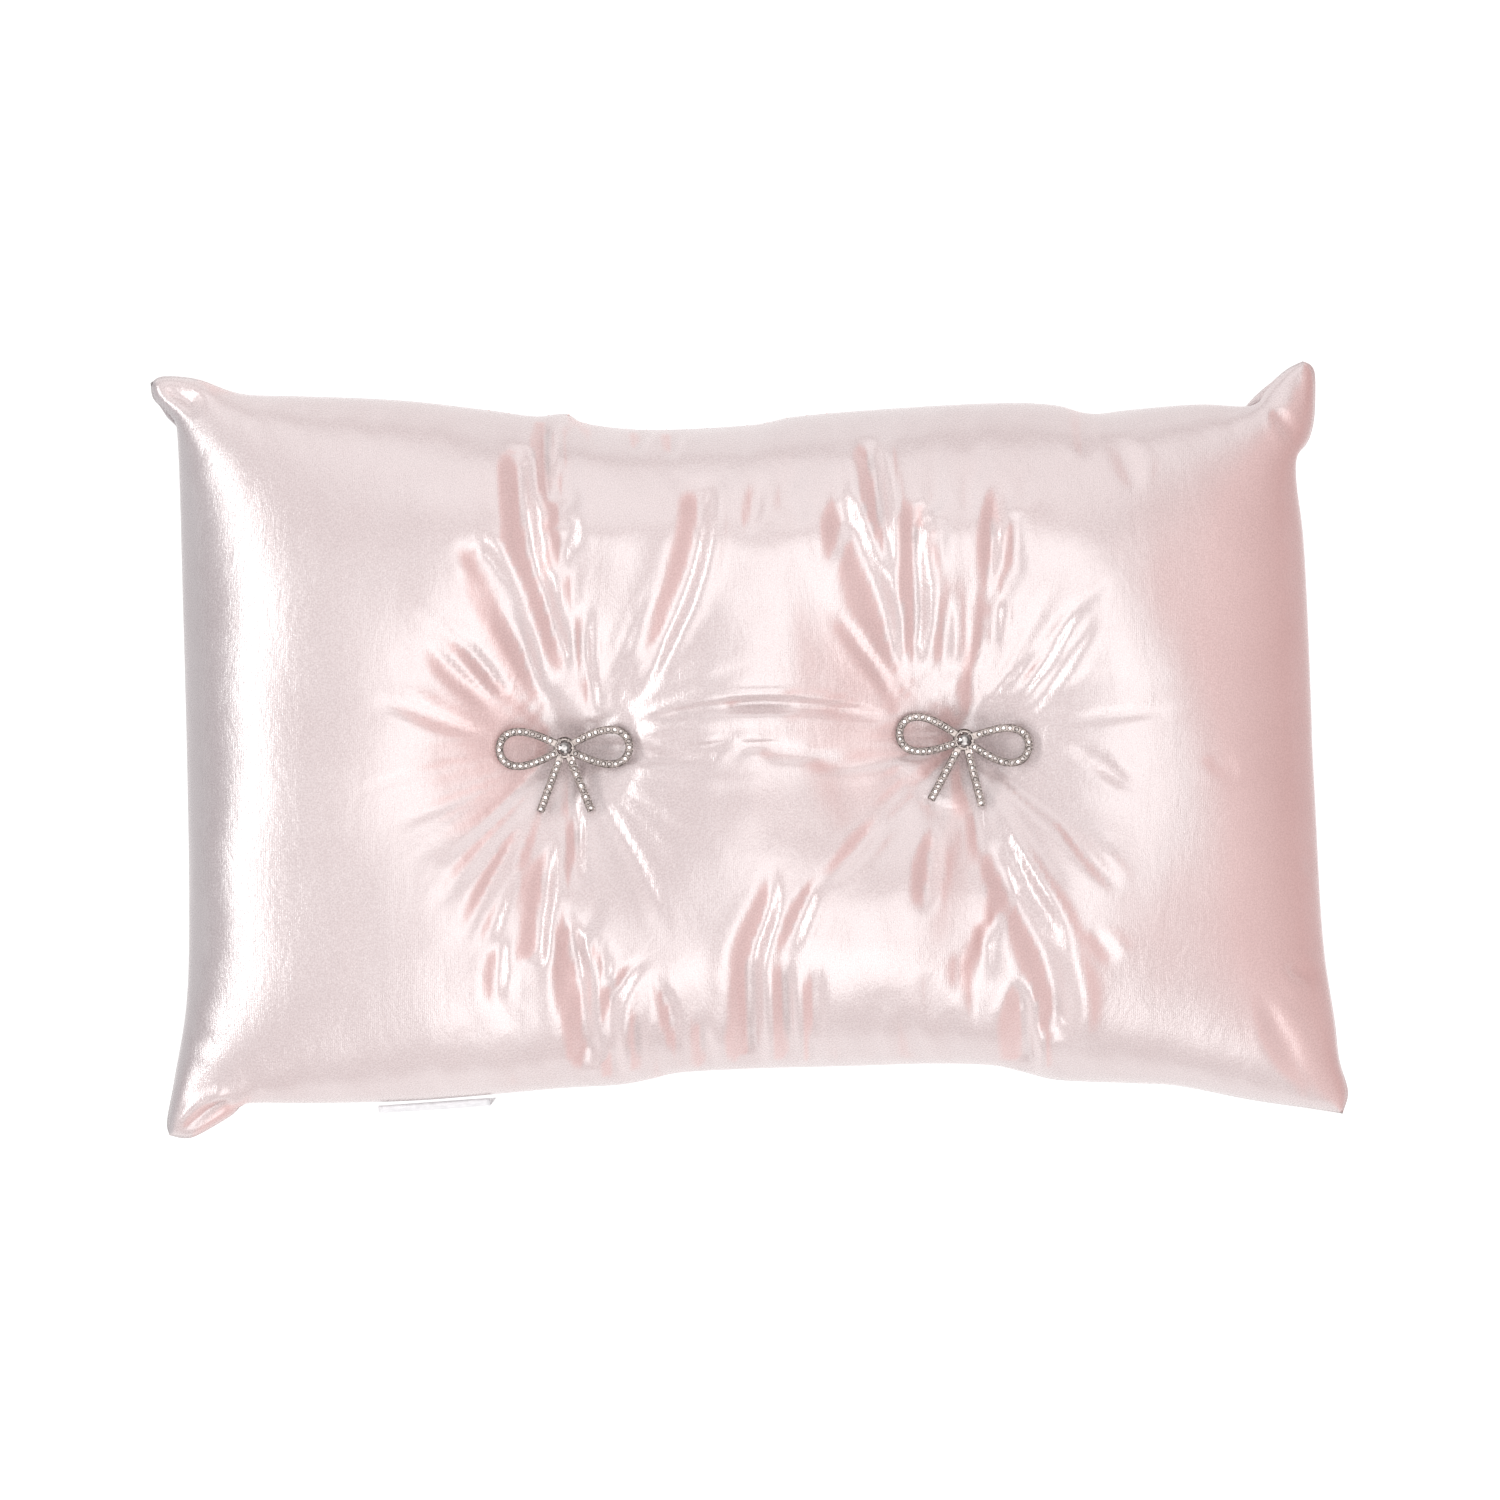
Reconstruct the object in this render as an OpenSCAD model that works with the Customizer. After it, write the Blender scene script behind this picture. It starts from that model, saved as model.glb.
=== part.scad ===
// Ring bearer pillow: a stuffed velvet pillow with two tufts, and a stone-set
// metal bow sewn into each tuft. It lies on its back with the bows up.
// Millimetres. The origin is on the table, under the middle of the pillow:
// +X along the pillow, +Y towards its top edge, +Z up.

/* [Pillow] */
// Length of the pillow, without its corner ears
body_l = 283; // [260:1:310]
// Width of the pillow at its two ends, without its corner ears
body_w = 176; // [160:1:200]
// How far the top side is drawn in at its waist
top_waist = 7.5; // [0:0.5:12]
// How far the bottom side is drawn in at its waist
bottom_waist = 9.5; // [0:0.5:12]
// Height that the stuffing would reach without the tufts
crown_h = 68; // [64:1:76]
// Height of the seam above the table
seam_h = 30; // [26:1:34]
// Thickness of the velvet
velvet_t = 0.8; // [0.6:0.1:1]
// Width of the seam allowance inside the cover
allowance = 8; // [5:1:10]

/* [Tufts] */
// Height of the velvet at the bottom of each tuft
tuft_floor = 45; // [40:1:46]
// How wide each tuft spreads over the top
tuft_reach = 32; // [30:1:38]
// Depth of the dimple under each back button
dimple = 13; // [11:1:15]

/* [Bows] */
// Length of each bow across its two loops
bow_l = 33.8; // [30:0.2:38]
// Height of each loop
loop_h = 10.4; // [9:0.2:12]
// Width of the metal strand
strand_w = 1.9; // [1.6:0.1:2.4]
// Spacing of the stones along the strand
stone_pitch = 1.5; // [1.4:0.05:2]
// Height of the bows' underside above the table
bow_z = 53.2; // [53:0.1:56]

/* [Label] */
// Width of the care label along the seam
label_w = 28; // [20:1:40]
// Length of the part of the label that hangs straight
label_drop = 23; // [10:1:24]

/* [Hidden] */

velvet = [0.93, 0.83, 0.82];
silver = [0.72, 0.71, 0.69];
crystal = [0.92, 0.93, 0.95];
thread = [0.95, 0.88, 0.87];
white = [0.97, 0.97, 0.96];

// Each tuft: where it stands, and how far its bow has turned on its thread, in degrees
left_tuft = [-45.5, 0.5];
right_tuft = [52.5, 2.5];
tufts = [left_tuft, right_tuft];
left_turn = 1.3;
right_turn = -7;

// How far each corner ear stands out of the body, by the signs of its corner
ears = [
    [[-1, -1], [-4, -9, -4]],
    [[1, -1], [7.5, -3, -5]],
    [[-1, 1], [-7.5, 2.5, 3]],
    [[1, 1], [-0.5, 9, 6]]
];
ear_sharpness = 12;

half_l = body_l / 2;
half_w = body_w / 2;
seam_gap = 0.3;         // between each allowance and the seam's middle plane
slack = 0.4;            // between the filling and the cover
lip_h = 4.2;            // each panel's rise just inside the seam, over its folded allowance
lip_run = 6;            // distance over which it rises
velvet_rim = 2.5;       // where the velvet's inner face starts, in from the seam
filling_rim = 4;        // where the filling starts, in from the seam
sag = 9;                // how far the belly is pressed flat by the table
cols = 26;              // facets along the pillow
rows = 18;              // facets across the pillow
rim_count = 2 * (cols + rows);

// ---- The pillow's form: u and v run from -1 to 1 over each panel ----

// Facets are smaller towards the seam, where the panels turn over
function station(i, n) = let (a = 2 * i / n - 1) 0.6 * a + 0.4 * sin(90 * a);

function ear_share(u, v, corner) =
    pow((1 + u * corner.x) / 2 * (1 + v * corner.y) / 2, ear_sharpness);

function ear_shift(u, v, axis, k = 0) =
    k == len(ears) ? 0 : ear_share(u, v, ears[k][0]) * ears[k][1][axis] + ear_shift(u, v, axis, k + 1);

// The waists: how far each long side is drawn in along the pillow
function top_in(x) = top_waist * exp(-pow((x + 20) / 45, 2));
function bottom_in(x) = bottom_waist * exp(-pow((x - 35) / 80, 2));
function side_y(x, v) = v * (half_w - top_in(x) * (1 + v) / 2 - bottom_in(x) * (1 - v) / 2);

function plan(u, v) = [
    u * half_l + ear_shift(u, v, 0),
    side_y(u * half_l, v) + ear_shift(u, v, 1)
];

function seam_z(u, v) = seam_h + ear_shift(u, v, 2);

function puff(u, v) = sqrt(max(0, 1 - pow(abs(u), 2.6))) * sqrt(max(0, 1 - pow(abs(v), 2.2)));

function lip(u, v) = lip_h * min(1, (1 - abs(u)) * half_l / lip_run, (1 - abs(v)) * half_w / lip_run);

// How much of its full height the velvet keeps at a distance from a tuft
function kept(p, tuft) = 1 - exp(-pow(norm(p - tuft) / tuft_reach, 2.2));

// How far the velvet follows a back button up: all the way beside it, and not at all further out
dimple_in = 7;
dimple_out = 38;
function follow(p, tuft) =
    let (s = min(1, max(0, (norm(p - tuft) - dimple_in) / (dimple_out - dimple_in))))
    (1 - s) * (1 - s) * (1 + 2 * s);

function top_z(u, v) =
    let (
        low = seam_z(u, v) + seam_gap + lip(u, v),
        full = low + (crown_h - low) * puff(u, v),
        p = plan(u, v)
    )
    full - max(0, full - tuft_floor) * (1 - kept(p, left_tuft) * kept(p, right_tuft));

function under_z(u, v) =
    let (
        low = seam_z(u, v) - seam_gap - lip(u, v),
        full = low - (low + sag) * puff(u, v),
        p = plan(u, v)
    )
    max(0, full) + dimple * max(follow(p, left_tuft), follow(p, right_tuft));

// A point of the plan moved in from the seam by a distance
function inboard(u, v, d) =
    let (p = plan(u, v)) [p.x * (1 - d / half_l), p.y * (1 - d / half_w)];

function at(p, z) = [p.x, p.y, z];

function on_rim(i, j) = i == 0 || i == cols || j == 0 || j == rows;

// One face of the stuffed pillow, upper or under, at a depth in from the velvet's outer face.
// Its rim stands in from the seam by a distance of its own, to leave room for the allowance.
function grid(upper, d, rim_in) = [
    for (j = [0:rows], i = [0:cols])
        let (
            u = station(i, cols),
            v = station(j, rows),
            way = upper ? 1 : -1,
            z = upper ? top_z(u, v) : under_z(u, v)
        )
        on_rim(i, j)
            ? at(inboard(u, v, rim_in), seam_z(u, v) + way * (seam_gap + d))
            : at(inboard(u, v, d), z - way * d)
];

// The places round the seam, in the order in which a ring of facets visits them
rim = concat(
    [for (i = [0:cols - 1]) [i, 0]],
    [for (j = [0:rows - 1]) [cols, j]],
    [for (i = [cols:-1:1]) [i, rows]],
    [for (j = [rows:-1:1]) [0, j]]
);

function rim_uv(k) = [station(rim[k].x, cols), station(rim[k].y, rows)];

function ring(d, dz) = [
    for (k = [0:rim_count - 1])
        let (s = rim_uv(k)) at(inboard(s.x, s.y, d), seam_z(s.x, s.y) + dz)
];

function cell(base, i, j) = base + i + j * (cols + 1);

// Two facets for each cell, split so that each corner cell bends along its diagonal
function facets(base, i, j) =
    let (a = cell(base, i, j), b = cell(base, i, j + 1), c = cell(base, i + 1, j + 1), d = cell(base, i + 1, j))
    (i < cols / 2) == (j < rows / 2) ? [[a, b, c], [a, c, d]] : [[a, b, d], [b, c, d]];

function turned(f) = [f[0], f[2], f[1]];

// A closed skin: an upper grid, the rings below its rim, and a lower grid
module skin(upper, rings, lower) {
    n = len(upper);
    low = n + len(rings) * rim_count;
    hoops = concat(
        [[for (r = rim) cell(0, r.x, r.y)]],
        [for (h = [0:len(rings) - 1]) [for (k = [0:rim_count - 1]) n + h * rim_count + k]],
        [[for (r = rim) cell(low, r.x, r.y)]]
    );
    polyhedron(
        points = concat(upper, [for (r = rings) each r], lower),
        faces = concat(
            [for (j = [0:rows - 1], i = [0:cols - 1]) each facets(0, i, j)],
            [for (j = [0:rows - 1], i = [0:cols - 1]) for (f = facets(low, i, j)) turned(f)],
            [for (h = [0:len(hoops) - 2], k = [0:rim_count - 1])
                let (m = (k + 1) % rim_count, a = hoops[h], b = hoops[h + 1])
                each [[a[k], a[m], b[m]], [a[k], b[m], b[k]]]]
        ),
        convexity = 6
    );
}

// The holes that the tufting needle leaves
needle_r = 1.8;
module needle_holes() {
    for (t = tufts)
        translate([t.x, t.y, 1])
            cylinder(h = crown_h, r = needle_r, $fn = 32);
}

module top_panel() {
    color(velvet)
        difference() {
            skin(
                grid(true, 0, 0),
                [ring(allowance, seam_gap), ring(allowance, seam_gap + velvet_t)],
                grid(true, velvet_t, velvet_rim)
            );
            needle_holes();
        }
}

module bottom_panel() {
    color(velvet)
        difference() {
            skin(
                grid(false, velvet_t, velvet_rim),
                [ring(allowance, -seam_gap - velvet_t), ring(allowance, -seam_gap)],
                grid(false, 0, 0)
            );
            needle_holes();
        }
}

module filling() {
    depth = velvet_t + slack;
    clear = seam_gap + depth;
    color(white)
        difference() {
            skin(
                grid(true, depth, filling_rim),
                [ring(allowance + slack, clear), ring(allowance + slack, -clear)],
                grid(false, depth, filling_rim)
            );
            needle_holes();
        }
}

// ---- Thread ----

seam_thread_r = 0.25;
seam_thread_in = 5;     // how far the stitching line stands in from the edge

// The line of machine stitching that joins the two allowances
module seam_thread() {
    sides = 6;
    hoops = [
        for (k = [0:rim_count - 1])
            let (
                s = rim_uv(k),
                p = inboard(s.x, s.y, seam_thread_in),
                out = p / norm(p)
            )
            [for (a = [0:sides - 1]) let (c = seam_thread_r * cos(60 * a), h = seam_thread_r * sin(60 * a))
                [p.x + c * out.x, p.y + c * out.y, seam_z(s.x, s.y) + h]]
    ];
    color(thread)
        polyhedron(
            points = [for (h = hoops) each h],
            faces = [
                for (k = [0:rim_count - 1], a = [0:sides - 1], half = [0, 1])
                    let (m = (k + 1) % rim_count, b = (a + 1) % sides)
                    half == 0
                        ? [k * sides + a, m * sides + b, m * sides + a]
                        : [k * sides + a, k * sides + b, m * sides + b]
            ]
        );
}

stitch_r = 0.2;
stitch_h = 2.6;
stitch_pitch = 5;
stitch_count = 16;
stitch_start = -57;
stitch_bite = 0.15;     // how deep each stitch sinks into the folded edges

// The hand stitches that close the opening the pillow was stuffed through
module closing_stitches() {
    color(thread)
        for (k = [0:stitch_count - 1]) {
            x = stitch_start + k * stitch_pitch;
            y = side_y(x, 1) + stitch_r - stitch_bite;
            translate([x, y, seam_h - stitch_h / 2])
                cylinder(h = stitch_h, r = stitch_r, $fn = 16);
        }
}

// ---- Bows ----

loop_a = (bow_l - strand_w) / 2;
loop_b = (loop_h - strand_w) / 2;
frame_t = 1.1;          // thickness of the bow's metal
loop_end = 85;          // where each loop runs into the hub, in degrees of its curve
first_seat = 77;        // where the stones nearest the hub sit
hub_r = 2.7;
tail_top = [1.1, -2.2];
tail_tip = [6.3, -15.6];

// The two loops are one figure-of-eight curve
function eight(t) = [loop_a * cos(t), loop_b * sin(2 * t)];
function eight_way(t) = [-loop_a * sin(t), 2 * loop_b * cos(2 * t)];
function beside(t, d) = let (w = eight_way(t)) eight(t) + d * [w.y, -w.x] / norm(w);

// Parameters of the curve spaced by one pitch along it
function walk(t, last) = t > last ? [] : concat([t], walk(t + stone_pitch / norm(eight_way(t)) * 180 / PI, last));

loop_seats = walk(-first_seat, first_seat);
tail_l = norm(tail_tip - tail_top);
tail_lean = atan2(tail_top.x - tail_tip.x, tail_top.y - tail_tip.y);
tail_seat_count = floor((tail_l - 1.2) / stone_pitch);

// Puts a child made round the origin at a tuft, at the bow's height
module on_tuft(tuft, turn) {
    translate([tuft.x, tuft.y, bow_z])
        rotate([0, 0, turn])
            children();
}

module loop_strand() {
    steps = 30;
    ts = [for (k = [0:steps]) -loop_end + 2 * loop_end * k / steps];
    linear_extrude(height = frame_t)
        polygon(concat(
            [for (t = ts) beside(t, strand_w / 2)],
            [for (k = [steps:-1:0]) beside(ts[k], -strand_w / 2)]
        ));
}

module tail() {
    translate([tail_tip.x, tail_tip.y, 0])
        rotate([0, 0, -tail_lean])
            translate([-strand_w / 2, 0, 0])
                cube([strand_w, tail_l, frame_t]);
}

module bow_frame(tuft, turn) {
    color(silver)
        on_tuft(tuft, turn)
            union() {
                loop_strand();
                mirror([1, 0, 0]) loop_strand();
                tail();
                mirror([1, 0, 0]) tail();
                cylinder(h = frame_t, r = hub_r, $fn = 48);
            }
}

stone_r = 0.62;
girdle_h = 0.25;
crown_cut = 0.35;
table_share = 0.58;

// A stone as it shows above its seat: a girdle, a sloping crown and a flat table
module stone(r, girdle, crown) {
    rotate_extrude($fn = 24)
        polygon([[0, 0], [r, 0], [r, girdle], [r * table_share, girdle + crown], [0, girdle + crown]]);
}

module bow_stones(tuft, turn) {
    color(crystal)
        on_tuft(tuft, turn)
            translate([0, 0, frame_t])
                for (side = [1, -1]) {
                    for (t = loop_seats) {
                        p = eight(t);
                        translate([side * p.x, p.y, 0])
                            stone(stone_r, girdle_h, crown_cut);
                    }
                    for (k = [0:tail_seat_count - 1]) {
                        share = (0.8 + k * stone_pitch) / tail_l;
                        p = tail_tip + (tail_top - tail_tip) * share;
                        translate([side * p.x, p.y, 0])
                            stone(stone_r, girdle_h, crown_cut);
                    }
                }
}

cup_r = 2.3;
cup_wall = 0.45;
cup_h = 1.2;
claw_r = 0.3;
claw_count = 6;

// The cup in the middle of the bow, with the claws that hold its stone
module bow_setting(tuft, turn) {
    color(silver)
        on_tuft(tuft, turn)
            translate([0, 0, frame_t])
                union() {
                    difference() {
                        cylinder(h = cup_h, r = cup_r, $fn = 48);
                        translate([0, 0, 0.3])
                            cylinder(h = cup_h, r = cup_r - cup_wall, $fn = 48);
                    }
                    for (k = [0:claw_count - 1])
                        rotate([0, 0, k * 360 / claw_count])
                            translate([cup_r, 0, 0])
                                cylinder(h = cup_h + 0.5, r = claw_r, $fn = 16);
                }
}

module bow_centre_stone(tuft, turn) {
    color(crystal)
        on_tuft(tuft, turn)
            translate([0, 0, frame_t + 0.35])
                stone(cup_r - cup_wall - 0.05, 0.9, 0.65);
}

shank_r = 1.9;
shank_wire = 0.45;
shank_stem = 2.2;

// The wire loop soldered to the back of the bow
module bow_shank(tuft, turn) {
    color(silver)
        on_tuft(tuft, turn)
            translate([0, 0, -shank_stem])
                union() {
                    for (side = [-1, 1])
                        translate([side * shank_r, 0, 0])
                            cylinder(h = shank_stem, r = shank_wire, $fn = 24);
                    rotate([-90, 0, 0])
                        rotate_extrude(angle = 180, $fn = 48)
                            translate([shank_r, 0])
                                circle(r = shank_wire, $fn = 24);
                }
}

// ---- Tufting thread and back buttons ----

tie_r = 0.35;
tie_half = 1.3;         // half the distance between the thread's two legs
button_r = 5.6;
button_t = 2;
button_top = dimple - 1.4;
button_hole_r = 0.6;

shank_low = bow_z - shank_stem - shank_r;
tie_top = shank_low - (tie_half - tie_r - shank_wire) + 0.12;
tie_low = button_top - button_t - 0.15;

// The thread runs through the shank, down through the pillow and under the button
module tuft_thread(tuft) {
    color(thread)
        translate([tuft.x, tuft.y, 0])
            union() {
                for (side = [-1, 1])
                    translate([0, side * tie_half, tie_low])
                        cylinder(h = tie_top - tie_low, r = tie_r, $fn = 24);
                translate([0, 0, tie_top])
                    rotate([90, 0, 90])
                        rotate_extrude(angle = 180, $fn = 48)
                            translate([tie_half, 0])
                                circle(r = tie_r, $fn = 24);
                translate([0, 0, tie_low])
                    rotate([-90, 0, 90])
                        rotate_extrude(angle = 180, $fn = 48)
                            translate([tie_half, 0])
                                circle(r = tie_r, $fn = 24);
            }
}

module back_button(tuft) {
    rim_w = 1.1;
    color(white)
        translate([tuft.x, tuft.y, button_top - button_t])
            difference() {
                cylinder(h = button_t, r = button_r, $fn = 64);
                translate([0, 0, -1])
                    cylinder(h = 1.6, r = button_r - rim_w, $fn = 64);
                for (side = [-1, 1])
                    translate([0, side * tie_half, -1])
                        cylinder(h = button_t + 2, r = button_hole_r, $fn = 24);
            }
}

// ---- Care label ----

label_t = 0.3;
label_x = -79;
label_bend = 1.9;       // radius of the turn where the label leaves the seam
label_off = 0.8;        // between the seam's edge and the label's hinge line

// The label lies along the seam, which slants a little there
label_ends = [for (x = [label_x - label_w / 2, label_x + label_w / 2]) plan(x / half_l, -1)];
label_turn = atan2(label_ends[1].y - label_ends[0].y, label_ends[1].x - label_ends[0].x);
label_y = (label_ends[0].y + label_ends[1].y) / 2 - label_off;

// The label leaves the seam outwards, turns down and hangs clear of the pillow
module care_label() {
    color(white)
        translate([label_x, label_y, seam_h])
            rotate([0, 0, label_turn])
                translate([-label_w / 2, 0, 0])
                    union() {
                        translate([0, 0, -label_bend])
                            rotate([0, 90, 0])
                                rotate([0, 0, 180])
                                    rotate_extrude(angle = 90, $fn = 48)
                                        translate([label_bend - label_t / 2, 0])
                                            square([label_t, label_w]);
                        translate([0, -label_bend - label_t / 2, -label_bend - label_drop])
                            cube([label_w, label_t, label_drop]);
                    }
}

top_panel();
bottom_panel();
filling();
seam_thread();
closing_stitches();
care_label();
bow_frame(left_tuft, left_turn);  // bow_frame_left
bow_stones(left_tuft, left_turn);  // bow_stones_left
bow_setting(left_tuft, left_turn);  // bow_setting_left
bow_centre_stone(left_tuft, left_turn);  // bow_centre_stone_left
bow_shank(left_tuft, left_turn);  // bow_shank_left
bow_frame(right_tuft, right_turn);  // bow_frame_right
bow_stones(right_tuft, right_turn);  // bow_stones_right
bow_setting(right_tuft, right_turn);  // bow_setting_right
bow_centre_stone(right_tuft, right_turn);  // bow_centre_stone_right
bow_shank(right_tuft, right_turn);  // bow_shank_right
tuft_thread(left_tuft);  // tuft_thread_left
tuft_thread(right_tuft);  // tuft_thread_right
back_button(left_tuft);  // back_button_left
back_button(right_tuft);  // back_button_right
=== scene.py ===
"""The looks of a ring bearer pillow: a stuffed velvet cover with two tufts, and a stone-set bow in each."""

import math

import bpy
import numpy as np
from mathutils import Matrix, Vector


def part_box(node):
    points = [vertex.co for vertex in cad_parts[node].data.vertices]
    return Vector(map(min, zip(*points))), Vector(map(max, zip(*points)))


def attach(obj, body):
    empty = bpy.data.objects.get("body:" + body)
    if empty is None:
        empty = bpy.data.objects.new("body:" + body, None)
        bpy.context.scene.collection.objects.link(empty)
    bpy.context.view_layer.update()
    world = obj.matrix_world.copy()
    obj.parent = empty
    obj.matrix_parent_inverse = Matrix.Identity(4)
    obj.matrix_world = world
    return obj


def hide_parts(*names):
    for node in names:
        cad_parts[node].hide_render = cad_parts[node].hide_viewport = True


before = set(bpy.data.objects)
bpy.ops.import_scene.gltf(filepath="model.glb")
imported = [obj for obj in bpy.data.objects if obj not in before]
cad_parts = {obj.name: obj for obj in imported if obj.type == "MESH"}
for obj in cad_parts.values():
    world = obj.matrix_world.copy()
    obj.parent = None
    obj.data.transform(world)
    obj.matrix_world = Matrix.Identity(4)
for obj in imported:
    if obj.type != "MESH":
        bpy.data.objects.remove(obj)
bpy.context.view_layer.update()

MM = 0.001
SEAM = 30 * MM
# Half the pillow's length and width, in millimetres, between its ears
HALF_L, HALF_W = 141, 86
# The parts of a panel's flat cloth on each side of its middle
CLOTH_L, CLOTH_W = 0.16, 0.11
LEFT_TUFT = np.array((-45.5, 0.5)) * MM
RIGHT_TUFT = np.array((52.5, 2.5)) * MM
TUFTS = {"left": LEFT_TUFT, "right": RIGHT_TUFT}
BOW_TURN = {"left": math.radians(1.3), "right": math.radians(-7)}


# ---- Camera ----

FRAME_WIDTH = 0.375
LENS = 120
SENSOR = 36


def new_object(name, data):
    thing = bpy.data.objects.new(name, data)
    bpy.context.scene.collection.objects.link(thing)
    return thing


def make_camera():
    data = bpy.data.cameras.new("camera")
    data.sensor_width = SENSOR
    data.lens = LENS
    camera = new_object("camera", data)
    camera.location = (0, 0, SEAM + FRAME_WIDTH * LENS / SENSOR)
    bpy.context.scene.camera = camera


make_camera()


# ---- Small helpers ----


def deselect():
    if bpy.context.object and bpy.context.object.mode != "OBJECT":
        bpy.ops.object.mode_set(mode="OBJECT")
    bpy.ops.object.select_all(action="DESELECT")


def pick(piece):
    deselect()
    piece.select_set(True)
    bpy.context.view_layer.objects.active = piece


def finish_modifiers(piece):
    pick(piece)
    for modifier in list(piece.modifiers):
        bpy.ops.object.modifier_apply(modifier=modifier.name)


def settle(piece):
    """Leaves the piece at the origin, unturned and unscaled, with its place in its mesh."""
    pick(piece)
    bpy.ops.object.transform_apply(location=True, rotation=True, scale=True)


def dress(piece, material):
    piece.data.materials.clear()
    piece.data.materials.append(material)
    return piece


def new_piece(name, points, faces, smooth=True):
    mesh = bpy.data.meshes.new(name)
    mesh.from_pydata([tuple(p) for p in points], [], [tuple(f) for f in faces])
    mesh.update()
    piece = new_object(name, mesh)
    if smooth:
        mesh.polygons.foreach_set("use_smooth", [True] * len(mesh.polygons))
    return piece


def join(name, pieces):
    deselect()
    for piece in pieces:
        piece.select_set(True)
    bpy.context.view_layer.objects.active = pieces[0]
    bpy.ops.object.join()
    pieces[0].name = name
    pieces[0].data.name = name
    return pieces[0]


def smoothstep(x):
    x = np.clip(x, 0, 1)
    return x * x * (3 - 2 * x)


def spline(a, b, c, d, t):
    """The smooth curve from b to c, t of the way along, with a before it and d after it."""
    return 0.5 * (2 * b + (c - a) * t + (2 * a - 5 * b + 4 * c - d) * t**2 + (3 * b - a - 3 * c + d) * t**3)


def middle_of(x, centre, reach, power):
    """1 round a place along x and 0 away from it. The place and the reach are in millimetres."""
    return np.exp(-(((x - centre * MM) / (reach * MM)) ** power))


def give_uv(piece, uv):
    """Lays out the piece's UV map from one place for each of its points."""
    layer = piece.data.uv_layers.new(name="UVMap")
    corners = np.zeros(len(piece.data.loops), int)
    piece.data.loops.foreach_get("vertex_index", corners)
    layer.data.foreach_set("uv", uv[corners].astype(np.float32).ravel())


def thicken(piece, thickness, offset):
    wall = piece.modifiers.new("thickness", "SOLIDIFY")
    wall.thickness = thickness
    wall.offset = offset
    finish_modifiers(piece)


# ---- Materials ----


class Nodes:
    """A material's node tree, built by short calls."""

    def __init__(self, name):
        self.material = bpy.data.materials.new(name)
        self.material.use_nodes = True
        self.tree = self.material.node_tree
        self.shader = self.tree.nodes["Principled BSDF"]
        self.coords = self.add("ShaderNodeTexCoord")

    def add(self, kind, **settings):
        node = self.tree.nodes.new(kind)
        for key, value in settings.items():
            setattr(node, key, value)
        return node

    def link(self, out, into):
        self.tree.links.new(out, into)

    def fill(self, node, **values):
        for key, value in values.items():
            node.inputs[key.replace("_", " ")].default_value = value
        return node

    def set(self, **values):
        self.fill(self.shader, **values)

    def noise(self, scale, detail=2.0, roughness=0.5, coords="Object", stretch=(1, 1, 1), distortion=0.0):
        mapping = self.fill(self.add("ShaderNodeMapping"), Scale=stretch)
        self.link(self.coords.outputs[coords], mapping.inputs["Vector"])
        node = self.add("ShaderNodeTexNoise")
        self.fill(node, Scale=scale, Detail=detail, Roughness=roughness, Distortion=distortion)
        self.link(mapping.outputs["Vector"], node.inputs["Vector"])
        return node.outputs["Fac"]

    def bands(self, scale, coords="UV", direction="X", distortion=0.0, detail=0.0, detail_scale=1.0):
        node = self.add("ShaderNodeTexWave", wave_type="BANDS", bands_direction=direction)
        self.fill(node, Scale=scale, Distortion=distortion, Detail=detail, Detail_Scale=detail_scale)
        self.link(self.coords.outputs[coords], node.inputs["Vector"])
        return node.outputs["Fac"]

    def attribute(self, name):
        return self.add("ShaderNodeAttribute", attribute_name=name).outputs["Fac"]

    def tinted(self, colour, tint):
        node = self.add("ShaderNodeMix", data_type="RGBA", blend_type="MULTIPLY")
        self.fill(node, Factor=1.0)
        self.link(colour, node.inputs["A"])
        self.link(tint, node.inputs["B"])
        return node.outputs["Result"]

    def ramp(self, factor, *stops):
        node = self.add("ShaderNodeValToRGB")
        elements = node.color_ramp.elements
        while len(elements) < len(stops):
            elements.new(0.5)
        for element, (place, colour) in zip(elements, stops):
            element.position = place
            element.color = (*colour, 1)
        self.link(factor, node.inputs["Fac"])
        return node.outputs["Color"]

    def spread(self, factor, low, high, start=0.0, end=1.0):
        node = self.add("ShaderNodeMapRange")
        self.fill(node, From_Min=start, From_Max=end, To_Min=low, To_Max=high)
        self.link(factor, node.inputs["Value"])
        return node.outputs["Result"]

    def bump(self, height, strength, distance, under=None):
        node = self.fill(self.add("ShaderNodeBump"), Strength=strength, Distance=distance)
        self.link(height, node.inputs["Height"])
        if under is not None:
            self.link(under, node.inputs["Normal"])
        return node.outputs["Normal"]

    def colour(self, out):
        self.link(out, self.shader.inputs["Base Color"])

    def rough(self, out):
        self.link(out, self.shader.inputs["Roughness"])

    def normal(self, out):
        self.link(out, self.shader.inputs["Normal"])


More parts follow.
